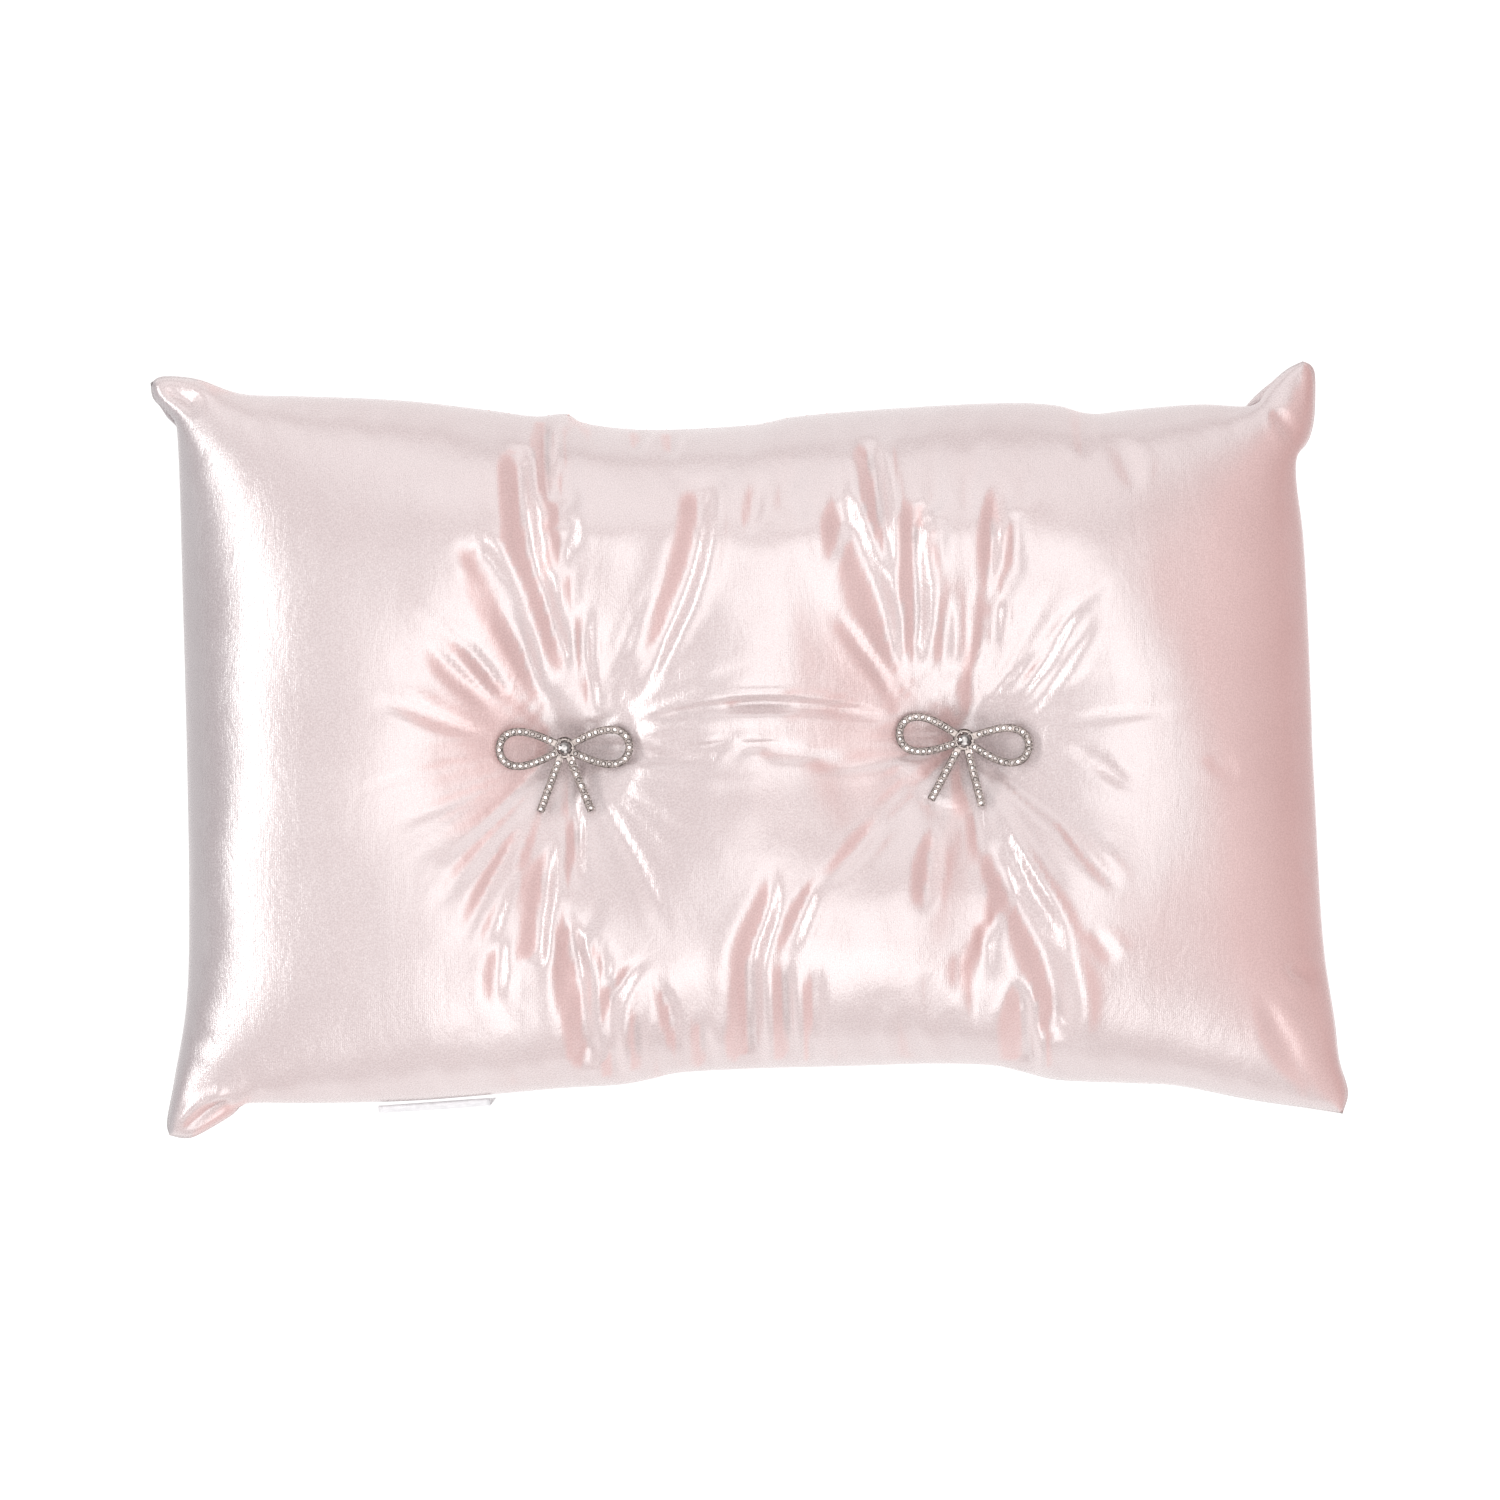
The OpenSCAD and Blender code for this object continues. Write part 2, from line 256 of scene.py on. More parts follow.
def velvet_material():
    """Blush panne velvet, which shines like satin in fine grains.

    Its base colour is painted light and shade by the way each slope faces: slopes that face +X are painted
    deep pink as shaded, flat cloth and gentle -X slopes pale as lit, and the steepest -X slopes dark mauve
    as a painted reflection of a dark horizon. Its specular level is painted lower on slopes that face +X.
    """
    v = Nodes("blush_panne_velvet")
    lean = v.spread(v.attribute("lean"), 0.0, 1.0, -0.8, 0.8)
    # Painted shade and painted reflection, set by the lean: how far the surface faces +X
    painted_facing_shade = v.ramp(
        lean,
        (0.04, (0.25, 0.22, 0.23)),
        (0.16, (0.35, 0.31, 0.32)),
        (0.3, (0.54, 0.475, 0.478)),
        (0.6, (0.605, 0.51, 0.507)),
        (0.7, (0.67, 0.48, 0.467)),
        (0.8, (0.63, 0.43, 0.415)),
        (0.88, (0.60, 0.395, 0.38)),
        (0.97, (0.57, 0.37, 0.358)),
    )
    drift = v.noise(22, detail=3, roughness=0.6, distortion=0.6)
    shade = v.tinted(painted_facing_shade, v.ramp(drift, (0.3, (0.93, 0.9, 0.9)), (0.7, (1.0, 1.0, 1.0))))
    grain = v.noise(1900, detail=2, roughness=0.6)
    v.colour(v.tinted(shade, v.ramp(grain, (0.35, (0.98, 0.975, 0.975)), (0.68, (1.03, 1.03, 1.03)))))
    v.rough(v.spread(grain, 0.22, 0.33, 0.3, 0.7))
    v.set(IOR=1.9, Sheen_Weight=0.12, Sheen_Roughness=0.35, Sheen_Tint=(1.0, 0.93, 0.92, 1))
    # Painted dimming of the reflection: the specular level falls on slopes that face +X
    v.link(v.spread(lean, 0.9, 0.2, 0.62, 0.9), v.shader.inputs["Specular IOR Level"])
    crush = v.noise(520, detail=3, roughness=0.6, stretch=(1, 0.5, 1))
    ribs = v.bands(571, direction="X", distortion=0.4, detail=1, detail_scale=2)
    cloud = v.noise(105, detail=5, roughness=0.72, stretch=(1.5, 0.75, 1), distortion=0.5)
    swell = v.bump(cloud, 1.0, 0.0002)
    low = v.bump(crush, 0.4, 0.00005, swell)
    mid = v.bump(ribs, 0.35, 0.00002, low)
    v.normal(v.bump(v.spread(grain, 0.0, 1.0, 0.42, 0.8), 1.0, 0.000014, mid))
    return v.material


def filling_material():
    f = Nodes("polyester_fibre")
    wisps = f.noise(160, detail=5, roughness=0.7, distortion=1.5)
    f.colour(f.ramp(wisps, (0.3, (0.86, 0.86, 0.85)), (0.7, (0.95, 0.95, 0.94))))
    f.set(Roughness=0.95, Sheen_Weight=0.3, Specular_IOR_Level=0.2)
    f.normal(f.bump(wisps, 0.8, 0.002))
    return f.material


def thread_material(name, tone):
    t = Nodes(name)
    twist = t.noise(900, detail=2, stretch=(1, 1, 0.4))
    t.colour(t.ramp(twist, (0.3, tuple(c * 0.82 for c in tone)), (0.7, tone)))
    t.set(Roughness=0.45, Sheen_Weight=0.3)
    t.normal(t.bump(twist, 0.6, 0.0001))
    return t.material


def label_material():
    t = Nodes("woven_label_tape")
    warp = t.bands(420, direction="X")
    weft = t.bands(420, direction="Y")
    t.colour(t.ramp(t.noise(600, detail=2), (0.3, (0.68, 0.68, 0.70)), (0.7, (0.78, 0.78, 0.80))))
    t.set(Roughness=0.4, Sheen_Weight=0.2)
    t.normal(t.bump(weft, 0.35, 0.00006, t.bump(warp, 0.35, 0.00006)))
    return t.material


def silver_material():
    """A plated casting: grey and a little warm, darker where the plating has dulled."""
    s = Nodes("silver_plate")
    wear = s.noise(1400, detail=3, roughness=0.6)
    s.colour(s.ramp(wear, (0.35, (0.26, 0.225, 0.21)), (0.65, (0.48, 0.425, 0.40))))
    s.rough(s.spread(wear, 0.18, 0.34, 0.3, 0.7))
    s.set(Metallic=1.0)
    s.normal(s.bump(wear, 0.2, 0.00004))
    return s.material


def crystal_material(name, tones):
    """Small cut stones with foil behind them, each of its own brightness."""
    c = Nodes(name)
    tone = c.noise(900, detail=1)
    c.colour(c.ramp(tone, *tones))
    c.rough(c.spread(tone, 0.04, 0.1))
    c.set(Metallic=1.0)
    return c.material


def button_material():
    b = Nodes("pearly_button")
    swirl = b.noise(240, detail=2, distortion=2.5)
    b.colour(b.ramp(swirl, (0.3, (0.80, 0.62, 0.60)), (0.7, (0.90, 0.76, 0.74))))
    b.rough(b.spread(swirl, 0.18, 0.32))
    b.set(Coat_Weight=0.5, Coat_Roughness=0.1)
    b.normal(b.bump(swirl, 0.1, 0.0001))
    return b.material


VELVET = velvet_material()
FIBRE = filling_material()
SEWING_THREAD = thread_material("blush_thread", (0.83, 0.60, 0.57))
LABEL_TAPE = label_material()
SILVER = silver_material()
CRYSTAL = crystal_material(
    "foiled_crystal", ((0.36, (0.22, 0.195, 0.185)), (0.5, (0.48, 0.45, 0.44)), (0.62, (0.85, 0.81, 0.80)))
)
CENTRE_CRYSTAL = crystal_material(
    "dark_foiled_crystal", ((0.3, (0.16, 0.15, 0.145)), (0.7, (0.45, 0.43, 0.42)))
)
BUTTON = button_material()


# ---- The pillow's outline, in millimetres on the seam ----

TOP_SIDE = (
    (-149.5, 91.5), (-146.5, 93.2), (-138, 92.6), (-127, 89), (-112, 88.4), (-88, 87.4), (-66, 85),
    (-54, 83.4),
    (-46, 84), (-41, 81.6), (-25, 80), (0, 81.2), (12, 83.4), (38, 85.5), (62, 86.7), (76, 86.2), (85, 84),
    (95, 85), (112, 86.3), (125.5, 85.8), (127.9, 89.4), (131.4, 93), (134.4, 95.3), (137.6, 96.8),
)
RIGHT_SIDE = (
    (137.6, 96.8), (139.8, 95.8), (140.9, 93), (141, 84.5), (140.2, 79.2), (138.6, 75.8), (136.5, 73.6),
    (136.6, 66.5), (138.2, 54), (139.2, 37.5),
    (140.2, 12.5), (140.6, 0), (141.5, -17.5), (142.5, -37.5), (143.8, -52.5), (146.2, -67.5), (147.5, -77.5),
    (149.8, -85.5), (148.6, -91.2),
)
BOTTOM_SIDE = (
    (-145, -96.2), (-141, -97), (-137.5, -96), (-129.5, -91.3), (-126, -88.4), (-112, -88.3), (-95, -88),
    (-82, -87.5), (-67, -86.3), (-47, -84.5), (-33, -83.7), (-25, -82.3), (-17, -80.6), (2, -79.6), (25, -79),
    (45, -78.4), (60, -78.8), (68, -80.4), (77, -82.5), (95, -83.3), (107, -84), (125, -87.5), (140, -89.8),
    (148.6, -91.2),
)
LEFT_SIDE = (
    (-145, -96.2), (-145.6, -92.5), (-143.8, -82), (-140.8, -62.5), (-140.2, -37.5), (-140.8, 0),
    (-141.8, 37.5),
    (-143, 77.5), (-144.6, 83), (-148.8, 87.5), (-149.5, 91.5),
)


def curve_through(points, count=800):
    """A smooth curve through the points, evenly spaced along its length."""
    p = np.array(points, float)
    p = np.vstack((2 * p[0] - p[1], p, 2 * p[-1] - p[-2]))
    out = []
    for i in range(1, len(p) - 2):
        t = np.linspace(0, 1, 24, endpoint=False)[:, None]
        out.append(spline(p[i - 1], p[i], p[i + 1], p[i + 2], t))
    out.append(p[-2][None])
    dense = np.vstack(out)
    run = np.concatenate(([0], np.cumsum(np.linalg.norm(np.diff(dense, axis=0), axis=1))))
    at = np.linspace(0, run[-1], count)
    return np.stack([np.interp(at, run, dense[:, k]) for k in range(p.shape[1])], 1)


SIDES = {
    "top": curve_through(TOP_SIDE),
    "right": curve_through(RIGHT_SIDE)[::-1],
    "bottom": curve_through(BOTTOM_SIDE),
    "left": curve_through(LEFT_SIDE),
}


def on_side(name, s):
    """Points of a side at stations s from -1 to 1, in metres."""
    side = SIDES[name]
    at = (np.asarray(s) + 1) / 2 * (len(side) - 1)
    return np.stack([np.interp(at, np.arange(len(side)), side[:, k]) for k in (0, 1)], -1) * MM


def stations(count):
    """Grid lines from -1 to 1, closer together towards the ends."""
    s = np.linspace(-1, 1, count)
    return 0.68 * s + 0.32 * np.sin(s * math.pi / 2)


def plan(u, v):
    """The flat place of each point of a panel: u runs along the pillow and v across it, each from -1 to 1."""
    a, b = (u + 1) / 2, (v + 1) / 2
    low, high = on_side("bottom", u), on_side("top", u)
    left, right = on_side("left", v), on_side("right", v)
    c00, c10 = on_side("bottom", -1.0), on_side("bottom", 1.0)
    c01, c11 = on_side("top", -1.0), on_side("top", 1.0)
    a, b = a[..., None], b[..., None]
    flat = (1 - a) * (1 - b) * c00 + a * (1 - b) * c10 + (1 - a) * b * c01 + a * b * c11
    return (1 - b) * low + b * high + (1 - a) * left + a * right - flat


def even_plan(u, v):
    """The plan of a whole grid, spread evenly between its sides, so that no kink of a side runs inwards."""
    xy = plan(u, v)
    rows, cols = u.shape[0] - 2, u.shape[1] - 2
    share_r = (np.arange(rows) + 1) * math.pi / (rows + 1)
    share_c = (np.arange(cols) + 1) * math.pi / (cols + 1)
    modes_r = np.sin(np.outer(np.arange(rows) + 1, share_r))
    modes_c = np.sin(np.outer(np.arange(cols) + 1, share_c))
    stiff = (2 - 2 * np.cos(share_r))[:, None] + (2 - 2 * np.cos(share_c))[None]
    flat = np.dstack((u * HALF_L, v * HALF_W)) * MM
    for k in (0, 1):
        shift = xy[..., k] - flat[..., k]
        pull = np.zeros((rows, cols))
        pull[0] += shift[0, 1:-1]
        pull[-1] += shift[-1, 1:-1]
        pull[:, 0] += shift[1:-1, 0]
        pull[:, -1] += shift[1:-1, -1]
        even = modes_r @ ((modes_r.T @ pull @ modes_c) / stiff) @ modes_c.T * 4 / ((rows + 1) * (cols + 1))
        xy[1:-1, 1:-1, k] = flat[1:-1, 1:-1, k] + even
    return xy


# How far each corner ear lifts (+) or droops (-)
EARS = (((-1, -1), 1.5), ((1, -1), -4), ((-1, 1), 3), ((1, 1), 5))


def seam_height(u, v):
    z = np.full(u.shape, SEAM)
    for (a, b), lift in EARS:
        z = z + lift * MM * ((1 + u * a) / 2 * (1 + v * b) / 2) ** 14
    return z


def puff(u, v):
    """How much of the pillow's full height a place has. The far side, v over 0, is a little fuller."""
    across = np.where(v > 0, np.abs(v) ** 3.2, np.abs(v) ** 2.7)
    return np.sqrt(np.clip(1 - np.abs(u) ** 2.6, 0, 1)) * np.sqrt(np.clip(1 - across, 0, 1))


def from_edge(u, v):
    """How far a panel's points are from its edge, in millimetres."""
    return np.minimum((1 - np.abs(u)) * HALF_L, (1 - np.abs(v)) * HALF_W)


def lip(u, v):
    """The quick rise of the velvet just inside the seam."""
    return 1.2 * MM * np.clip(from_edge(u, v) / 2, 0, 1) ** 0.6


def from_tuft(xy, tuft):
    return np.linalg.norm(xy - tuft, axis=-1)


def waves(xy, seed, count, lengths, steepness):
    """A soft uneven swell: waves of drawn directions and lengths, each of the same steepness."""
    draw = np.random.default_rng(seed)
    total = np.zeros(xy.shape[:-1])
    for _ in range(count):
        bearing, start = draw.uniform(0, 2 * math.pi, 2)
        length = draw.uniform(*lengths) * MM
        way = xy[..., 0] * math.cos(bearing) + xy[..., 1] * math.sin(bearing)
        total += np.sin(2 * math.pi * way / length + start) * steepness * length / (2 * math.pi)
    return total


CROWN = 67 * MM
TUFT_FLOOR = 47.5 * MM
TUFT_REACH = 41.5 * MM
# Each panel's gap from the seam's middle plane
SEAM_GAP = 0.2 * MM
# The belly would sink this far below the table, and eases onto it from this height
BELLY_SINK, BELLY_EASE = 9 * MM, 3 * MM
# How far the belly is drawn up at a back button, how far out it stays so, and over what width it falls again
DIMPLE, DIMPLE_START, DIMPLE_WIDE = 13 * MM, 7 * MM, 31 * MM


def crater(xy, tuft, seed):
    """How much of the pillow's height is left round a tuft, from 0 in the tuft to 1; its rim is uneven."""
    gap = xy - tuft
    angle = np.arctan2(gap[..., 1], gap[..., 0])
    draw = np.random.default_rng(seed)
    reach = 1.0
    for k in (1, 2, 3, 5, 7):
        size = draw.uniform(0.3, 1) * 0.11 / math.sqrt(k)
        reach = reach + size * np.cos(k * angle + draw.uniform(0, 2 * math.pi))
    return 1 - np.exp(-((from_tuft(xy, tuft) / (TUFT_REACH * reach)) ** 1.95))


def top_height(u, v, xy):
    low = seam_height(u, v) + SEAM_GAP + lip(u, v)
    full = low + (CROWN - low) * puff(u, v)
    kept = crater(xy, LEFT_TUFT, 3) * crater(xy, RIGHT_TUFT, 4)
    return full - np.clip(full - TUFT_FLOOR, 0, None) * (1 - kept)


def under_height(u, v, xy):
    low = seam_height(u, v) - SEAM_GAP - lip(u, v)
    full = low - (low + BELLY_SINK) * puff(u, v)
    eased = BELLY_EASE * np.exp((full - BELLY_EASE) / BELLY_EASE) * (full > -BELLY_SINK)
    z = np.where(full > BELLY_EASE, full, np.clip(eased - 0.16 * MM, 0, None))
    follow = 0.0
    for tuft in TUFTS.values():
        s = np.clip((from_tuft(xy, tuft) - DIMPLE_START) / DIMPLE_WIDE, 0, 1)
        follow = np.maximum(follow, (1 - s) ** 2 * (1 + 2 * s))
    return z + DIMPLE * follow


# ---- Folds and puckers ----


def along_fold(xy, points):
    """Each point's share of the way along a fold, and its distance off it, positive to the east or north."""
    line = curve_through(points, 60) * MM
    way = np.gradient(line, axis=0)
    way /= np.linalg.norm(way, axis=1)[:, None]
    side = np.stack((way[:, 1], -way[:, 0]), 1)
    main = np.abs(side[:, 0]).mean() >= np.abs(side[:, 1]).mean()
    if side[:, 0 if main else 1].mean() < 0:
        side = -side
    flat = xy.reshape(-1, 2)
    share = np.zeros(len(flat))
    off = np.full(len(flat), 1.0)
    low, high = line.min(0) - 16 * MM, line.max(0) + 16 * MM
    near = np.all((flat > low) & (flat < high), axis=1)
    gap = flat[near][:, None, :] - line[None]
    far = np.linalg.norm(gap, axis=2)
    k = far.argmin(1)
    rows = np.arange(len(k))
    across = (gap[rows, k] * side[k]).sum(1)
    share[near] = k / (len(line) - 1)
    off[near] = np.sign(across) * far[rows, k]
    return share.reshape(xy.shape[:-1]), off.reshape(xy.shape[:-1])


def fold(xy, points, depth, west, east, ridge=(0.22, 0.35)):
    """A fold: a valley with a flank of its own width on each side and a rounded ridge beyond each."""
    share, off = along_fold(xy, points)
    far_end = 0.13 if depth > 1.8 else 0.4
    fade = smoothstep(share / 0.35) * smoothstep((1 - share) / far_end)
    grow = 0.55 + 0.45 * smoothstep(share * 2)
    width = np.where(off < 0, west, east) * MM * grow
    t = off / width
    valley = -np.exp(-(t**2))
    hump = np.where(off < 0, ridge[0], ridge[1]) * np.exp(-((np.abs(t) - 1.9) ** 2) / 0.7)
    return depth * MM * fade * (valley + hump)


# Each fold, in millimetres: its points from the tuft outwards; its depth; its west and east flanks' widths.
# An ear's folds are placed from the pillow's middle.
EAR_FOLDS = (
    (((-144, -98), (-138, -93.5), (-134, -90.5), (-128, -88.5)), 2.2, 1.6, 2.0),
    (((-148, 91), (-141, 88), (-136, 83)), 1.6, 1.8, 2.4),
    (((129, 86), (133, 80.5), (137.5, 75)), 0.8, 2.0, 1.8),
)
LEFT_FOLDS = (
    (((3.5, 11), (0.5, 21), (-3.8, 33), (-7.5, 46), (-9.8, 61), (-11, 76)), 2.8, 3.6, 2.4),
    (((-4, 57), (-4.5, 68), (-4, 83)), 2.4, 2.2, 1.5),
    (((-6, 11), (-8, 19), (-10.5, 29), (-13.5, 38), (-18, 45), (-24, 51)), 1.9, 3.0, 2.6),
    (((17, 11), (20.7, 17.5), (25.4, 29.5), (30.3, 42), (33.2, 54), (34, 67)), 2.3, 3.6, 2.4),
    (((9, 6), (6.5, 14), (5, 24), (5.5, 36)), 1.6, 2.2, 1.4),
    (((-15, 2.5), (-25, 5), (-37, 9.5), (-48, 13)), 1.2, 2.0, 1.8),
    (((-15, 8), (-24, 15), (-35, 25)), 1.1, 1.8, 1.8),
    (((-13, 10), (-20, 20), (-27, 29)), 1.1, 1.8, 1.8),
    (((-2.5, -20), (-4.2, -32), (-5.5, -43), (-6.2, -54)), 2.2, 3.4, 1.7),
    (((4, -14), (3, -24), (1.5, -36)), 1.4, 2.0, 1.4),
    (((0, -37), (2.5, -48), (4.6, -60), (7.5, -80)), 2.8, 3.8, 2.2),
    (((6, -42), (10, -56), (9.5, -76)), 1.3, 1.3, 1.5),
    (((-14.5, -44), (-16, -54), (-16.5, -66)), 1.2, 2.2, 1.5),
    (((-9, -16), (-15, -28), (-21, -40), (-25, -49)), 1.3, 2.0, 1.6),
    (((-11, -27), (-16, -39), (-20, -52)), 1.1, 1.8, 1.5),
    (((22, -50), (15, -57), (11.5, -66), (12, -84)), 1.9, 2.2, 1.7),
    (((22, -54), (26, -64), (29, -78)), 1.4, 2.0, 1.4),
    (((19, -62), (18, -72), (20, -84)), 1.2, 1.6, 1.3),
    (((34, -64), (35, -84)), 1.0, 1.8, 1.3),
    (((52, -26), (50.5, -38), (46.5, -50), (46, -60), (46.5, -80)), 2.8, 3.6, 2.0),
    (((55, -48), (54.5, -60), (56, -80)), 2.0, 1.9, 1.4),
    (((63, -30), (58, -41), (54, -52)), 1.6, 1.9, 1.6),
    (((62, -50), (62, -64), (62, -78)), 1.0, 2.2, 1.6),
    (((14, 4.5), (22, 7), (33, 9.2), (47, 10.5), (58, 10.6)), 1.85, 1.7, 1.4),
    (((18, 72), (20, 84)), 1.1, 2.0, 1.4),
    (((26, 70), (28, 82)), 0.9, 2.0, 1.4),
    (((45, 50), (48.5, 68)), 0.9, 2.2, 1.6),
    (((64, 40), (67, 54), (68, 70)), 0.9, 2.4, 1.8),
)
RIGHT_FOLDS = (
    (((-15, 10), (-17, 21.5), (-20, 33), (-24, 44), (-27.8, 54), (-30, 60)), 2.6, 4.6, 2.2),
    (((-14, 3.5), (-21, 5.6), (-30, 7.2), (-42, 8.4), (-51, 8.6), (-60, 8.4)), 1.85, 1.7, 1.4),
    (((-17, 34), (-19.5, 48.5), (-21.3, 61.5), (-23.5, 75)), 2.4, 2.8, 2.0),
    (((-13.6, 13), (-12, 26), (-12, 36), (-12.7, 47.5), (-12.2, 59)), 2.3, 2.6, 2.6),
    (((-4.7, 13), (-4.1, 38)), 1.0, 1.8, 1.4),
    (((5.8, 34), (7.1, 52), (8, 66)), 1.5, 2.2, 1.5),
    (((7.2, 20), (8.3, 38)), 1.1, 1.8, 1.3),
    (((12, 8), (19, 19), (28, 33)), 1.3, 1.5, 1.8),
    (((15, 6), (24, 19), (33, 33)), 1.1, 1.5, 1.8),
    (((-15, 7), (-22, 18), (-33, 33)), 1.4, 1.8, 1.5),
    (((30.5, 67), (29.5, 83)), 0.5, 2.6, 2.2),
    (((43, 60), (38, 76)), 0.45, 2.8, 2.4),
    (((-6.5, -19), (-8.5, -31), (-10, -44)), 1.6, 2.6, 1.5),
    (((6, -19), (10.7, -34), (16.6, -46), (20.4, -56), (22.5, -66), (21, -75)), 3.1, 4.2, 3.6),
    (((9, -22), (15, -34), (21, -44), (26, -54)), 1.7, 1.7, 1.8),
    (((13, -56), (15, -68), (16.8, -84)), 2.6, 4.2, 1.8),
    (((22, -19), (30, -28), (39, -38)), 1.0, 1.8, 1.8),
    (((30, -46), (38, -55)), 0.8, 1.8, 1.8),
    (((-19, -17), (-26, -26), (-36, -37)), 0.9, 1.8, 1.8),
    (((20, 3.4), (39.5, 6.5), (54, 8.5)), 0.8, 1.6, 1.4),
    (((22, -1.5), (32, -5), (42, -13)), 1.0, 1.4, 1.8),
    (((-1, -50), (-1, -64)), 0.6, 2.2, 1.8),
    (((58, -4), (69, -8.5)), 0.4, 2.2, 2.2),
    (((79, -55), (89, -60)), 1.2, 2.2, 1.8),
    (((72, -62), (77, -70), (86, -86)), 0.9, 2.8, 2.6),
    (((84, -30), (92, -33)), 0.6, 2.4, 2.0),
)


def fan(xy, tuft, count, seed, reach, depth):
    """The fine creases that run out from a tuft like a fan."""
    draw = np.random.default_rng(seed)
    gap = xy - tuft
    r = np.linalg.norm(gap, axis=-1)
    angle = np.arctan2(gap[..., 1], gap[..., 0])
    total = np.zeros(r.shape)
    for k in range(count):
        bearing = 2 * math.pi * (k + draw.uniform(-0.35, 0.35)) / count
        start, end = draw.uniform(5, 13) * MM, draw.uniform(*reach) * MM
        bend = draw.uniform(-3, 3)
        size = draw.uniform(0.4, 1) * depth * MM
        width = draw.uniform(0.7, 1.3) * MM
        lean = bearing + bend * (r - start)
        off = np.arctan2(np.sin(angle - lean), np.cos(angle - lean)) * r
        w = width * (0.7 + 0.9 * smoothstep((r - start) / (30 * MM)))
        window = smoothstep((r - start) / (6 * MM)) * smoothstep((end - r) / (14 * MM))
        t = off / w
        crease = -np.exp(-(t**2)) + 0.5 * np.exp(-((np.abs(t) - 1.8) ** 2) / 0.6)
        total += size * window * crease * (np.abs(t) < 6)
    return total


def puckers(run, seed, pitch, depth):
    """The gathers along a seam: an uneven ripple over the distance along it, in metres."""
    draw = np.random.default_rng(seed)
    length = run.max() + 2 * pitch
    places, at = [], 0.0
    while at < length:
        places.append((at, draw.uniform(0.4, 1.0), draw.uniform(0.28, 0.45) * pitch))
        at += pitch * draw.uniform(0.6, 1.5)
    total = np.zeros(run.shape)
    for place, size, width in places:
        total -= size * np.exp(-(((run - place) / width) ** 2))
    return depth * (total + 0.35)


def seam_ripple(u, v, xy, seed):
    """How far the velvet dips beside the seam, all round."""
    along_x = (xy[..., 0] + 0.16) + 0.3 * xy[..., 1]
    along_y = (xy[..., 1] + 0.12) + 0.3 * xy[..., 0]
    total = np.zeros(u.shape)
    sides = ((v, HALF_W, along_x), (-v, HALF_W, along_x), (u, HALF_L, along_y), (-u, HALF_L, along_y))
    for k, (s, half, run) in enumerate(sides, 1):
        inward = (1 - s) * half * MM
        total += np.exp(-((inward / (9 * MM)) ** 2)) * puckers(run, seed + k, 8.5 * MM, 0.55 * MM)
    gathered = middle_of(xy[..., 0], 5, 48, 4)
    inward = (1 + v) * HALF_W * MM
    total += gathered * np.exp(-((inward / (13 * MM)) ** 2)) * puckers(along_x, seed + 9, 6.5 * MM, 1.5 * MM)
    return total


def outward(points):
    """The unit normals of a grid of points."""
    du = np.gradient(points, axis=1)
    dv = np.gradient(points, axis=0)
    n = np.cross(du, dv)
    return n / np.maximum(np.linalg.norm(n, axis=-1), 1e-12)[..., None]


# ---- Cloth ----


def grid_faces(rows, cols, flip=False):
    cell = np.arange(rows * cols).reshape(rows, cols)
    quads = np.stack((cell[:-1, :-1], cell[:-1, 1:], cell[1:, 1:], cell[1:, :-1]), -1).reshape(-1, 4)
    return quads[:, ::-1] if flip else quads


# The trial cloth is made this much larger, because the solver is coarse on small things
CLOTH_SCALE = 10


def inflate(points, held, pressure, slack, frames, cap):
    """How the stuffing moves a panel: it is slack cloth under pressure, held at some of its points."""
    rows, cols = held.shape
    cloth = new_piece("cloth_trial", points.reshape(-1, 3) * CLOTH_SCALE, grid_faces(rows, cols))
    group = cloth.vertex_groups.new(name="held")
    group.add([int(i) for i in np.flatnonzero(held.ravel())], 1.0, "REPLACE")
    pick(cloth)
    bpy.ops.object.modifier_add(type="CLOTH")
    modifier = cloth.modifiers[-1]
    settings = modifier.settings
    settings.quality = 6
    settings.mass = 0.3
    settings.tension_stiffness = 18
    settings.compression_stiffness = 14
    settings.shear_stiffness = 6
    settings.bending_stiffness = 0.35
    settings.air_damping = 3
    settings.vertex_group_mass = "held"
    settings.shrink_min = -slack
    settings.use_pressure = True
    settings.uniform_pressure_force = pressure
    settings.effector_weights.gravity = 0
    modifier.collision_settings.use_collision = False
    scene = bpy.context.scene
    modifier.point_cache.frame_start = 1
    modifier.point_cache.frame_end = frames
    for step in range(1, frames + 1):
        scene.frame_set(step)
    done = cloth.evaluated_get(bpy.context.evaluated_depsgraph_get())
    out = np.zeros(rows * cols * 3, np.float32)
    done.data.vertices.foreach_get("co", out)
    bpy.data.objects.remove(cloth)
    scene.frame_set(1)
    move = out.reshape(rows, cols, 3).astype(float) / CLOTH_SCALE - points
    size = np.linalg.norm(move, axis=-1)
    return move * (np.minimum(size, cap) / np.maximum(size, 1e-9))[..., None]


def refine(field, rows, cols):
    """A coarse grid of vectors, spread smoothly over a finer one."""
    r0, c0 = field.shape[:2]
    at_c = np.linspace(0, c0 - 1, cols)
    at_r = np.linspace(0, r0 - 1, rows)

    def cubic(data, at):
        i = np.clip(np.floor(at).astype(int), 0, len(data) - 2)
        t = (at - i).reshape((-1,) + (1,) * (data.ndim - 1))
        last = len(data) - 1
        return spline(data[np.clip(i - 1, 0, last)], data[i], data[i + 1], data[np.clip(i + 2, 0, last)], t)

    wide = cubic(field.swapaxes(0, 1), at_c).swapaxes(0, 1)
    return cubic(wide, at_r)


# ---- The cover ----

VELVET_T = 0.8 * MM
ALLOWANCE = 8 * MM
# Rings of the turned-in allowance: how far in from the edge each lies, and how far towards the seam's middle
TURN_IN = ((0.5 * MM, 0.35 * MM), (3 * MM, 0.15 * MM), (ALLOWANCE, 0.1 * MM))


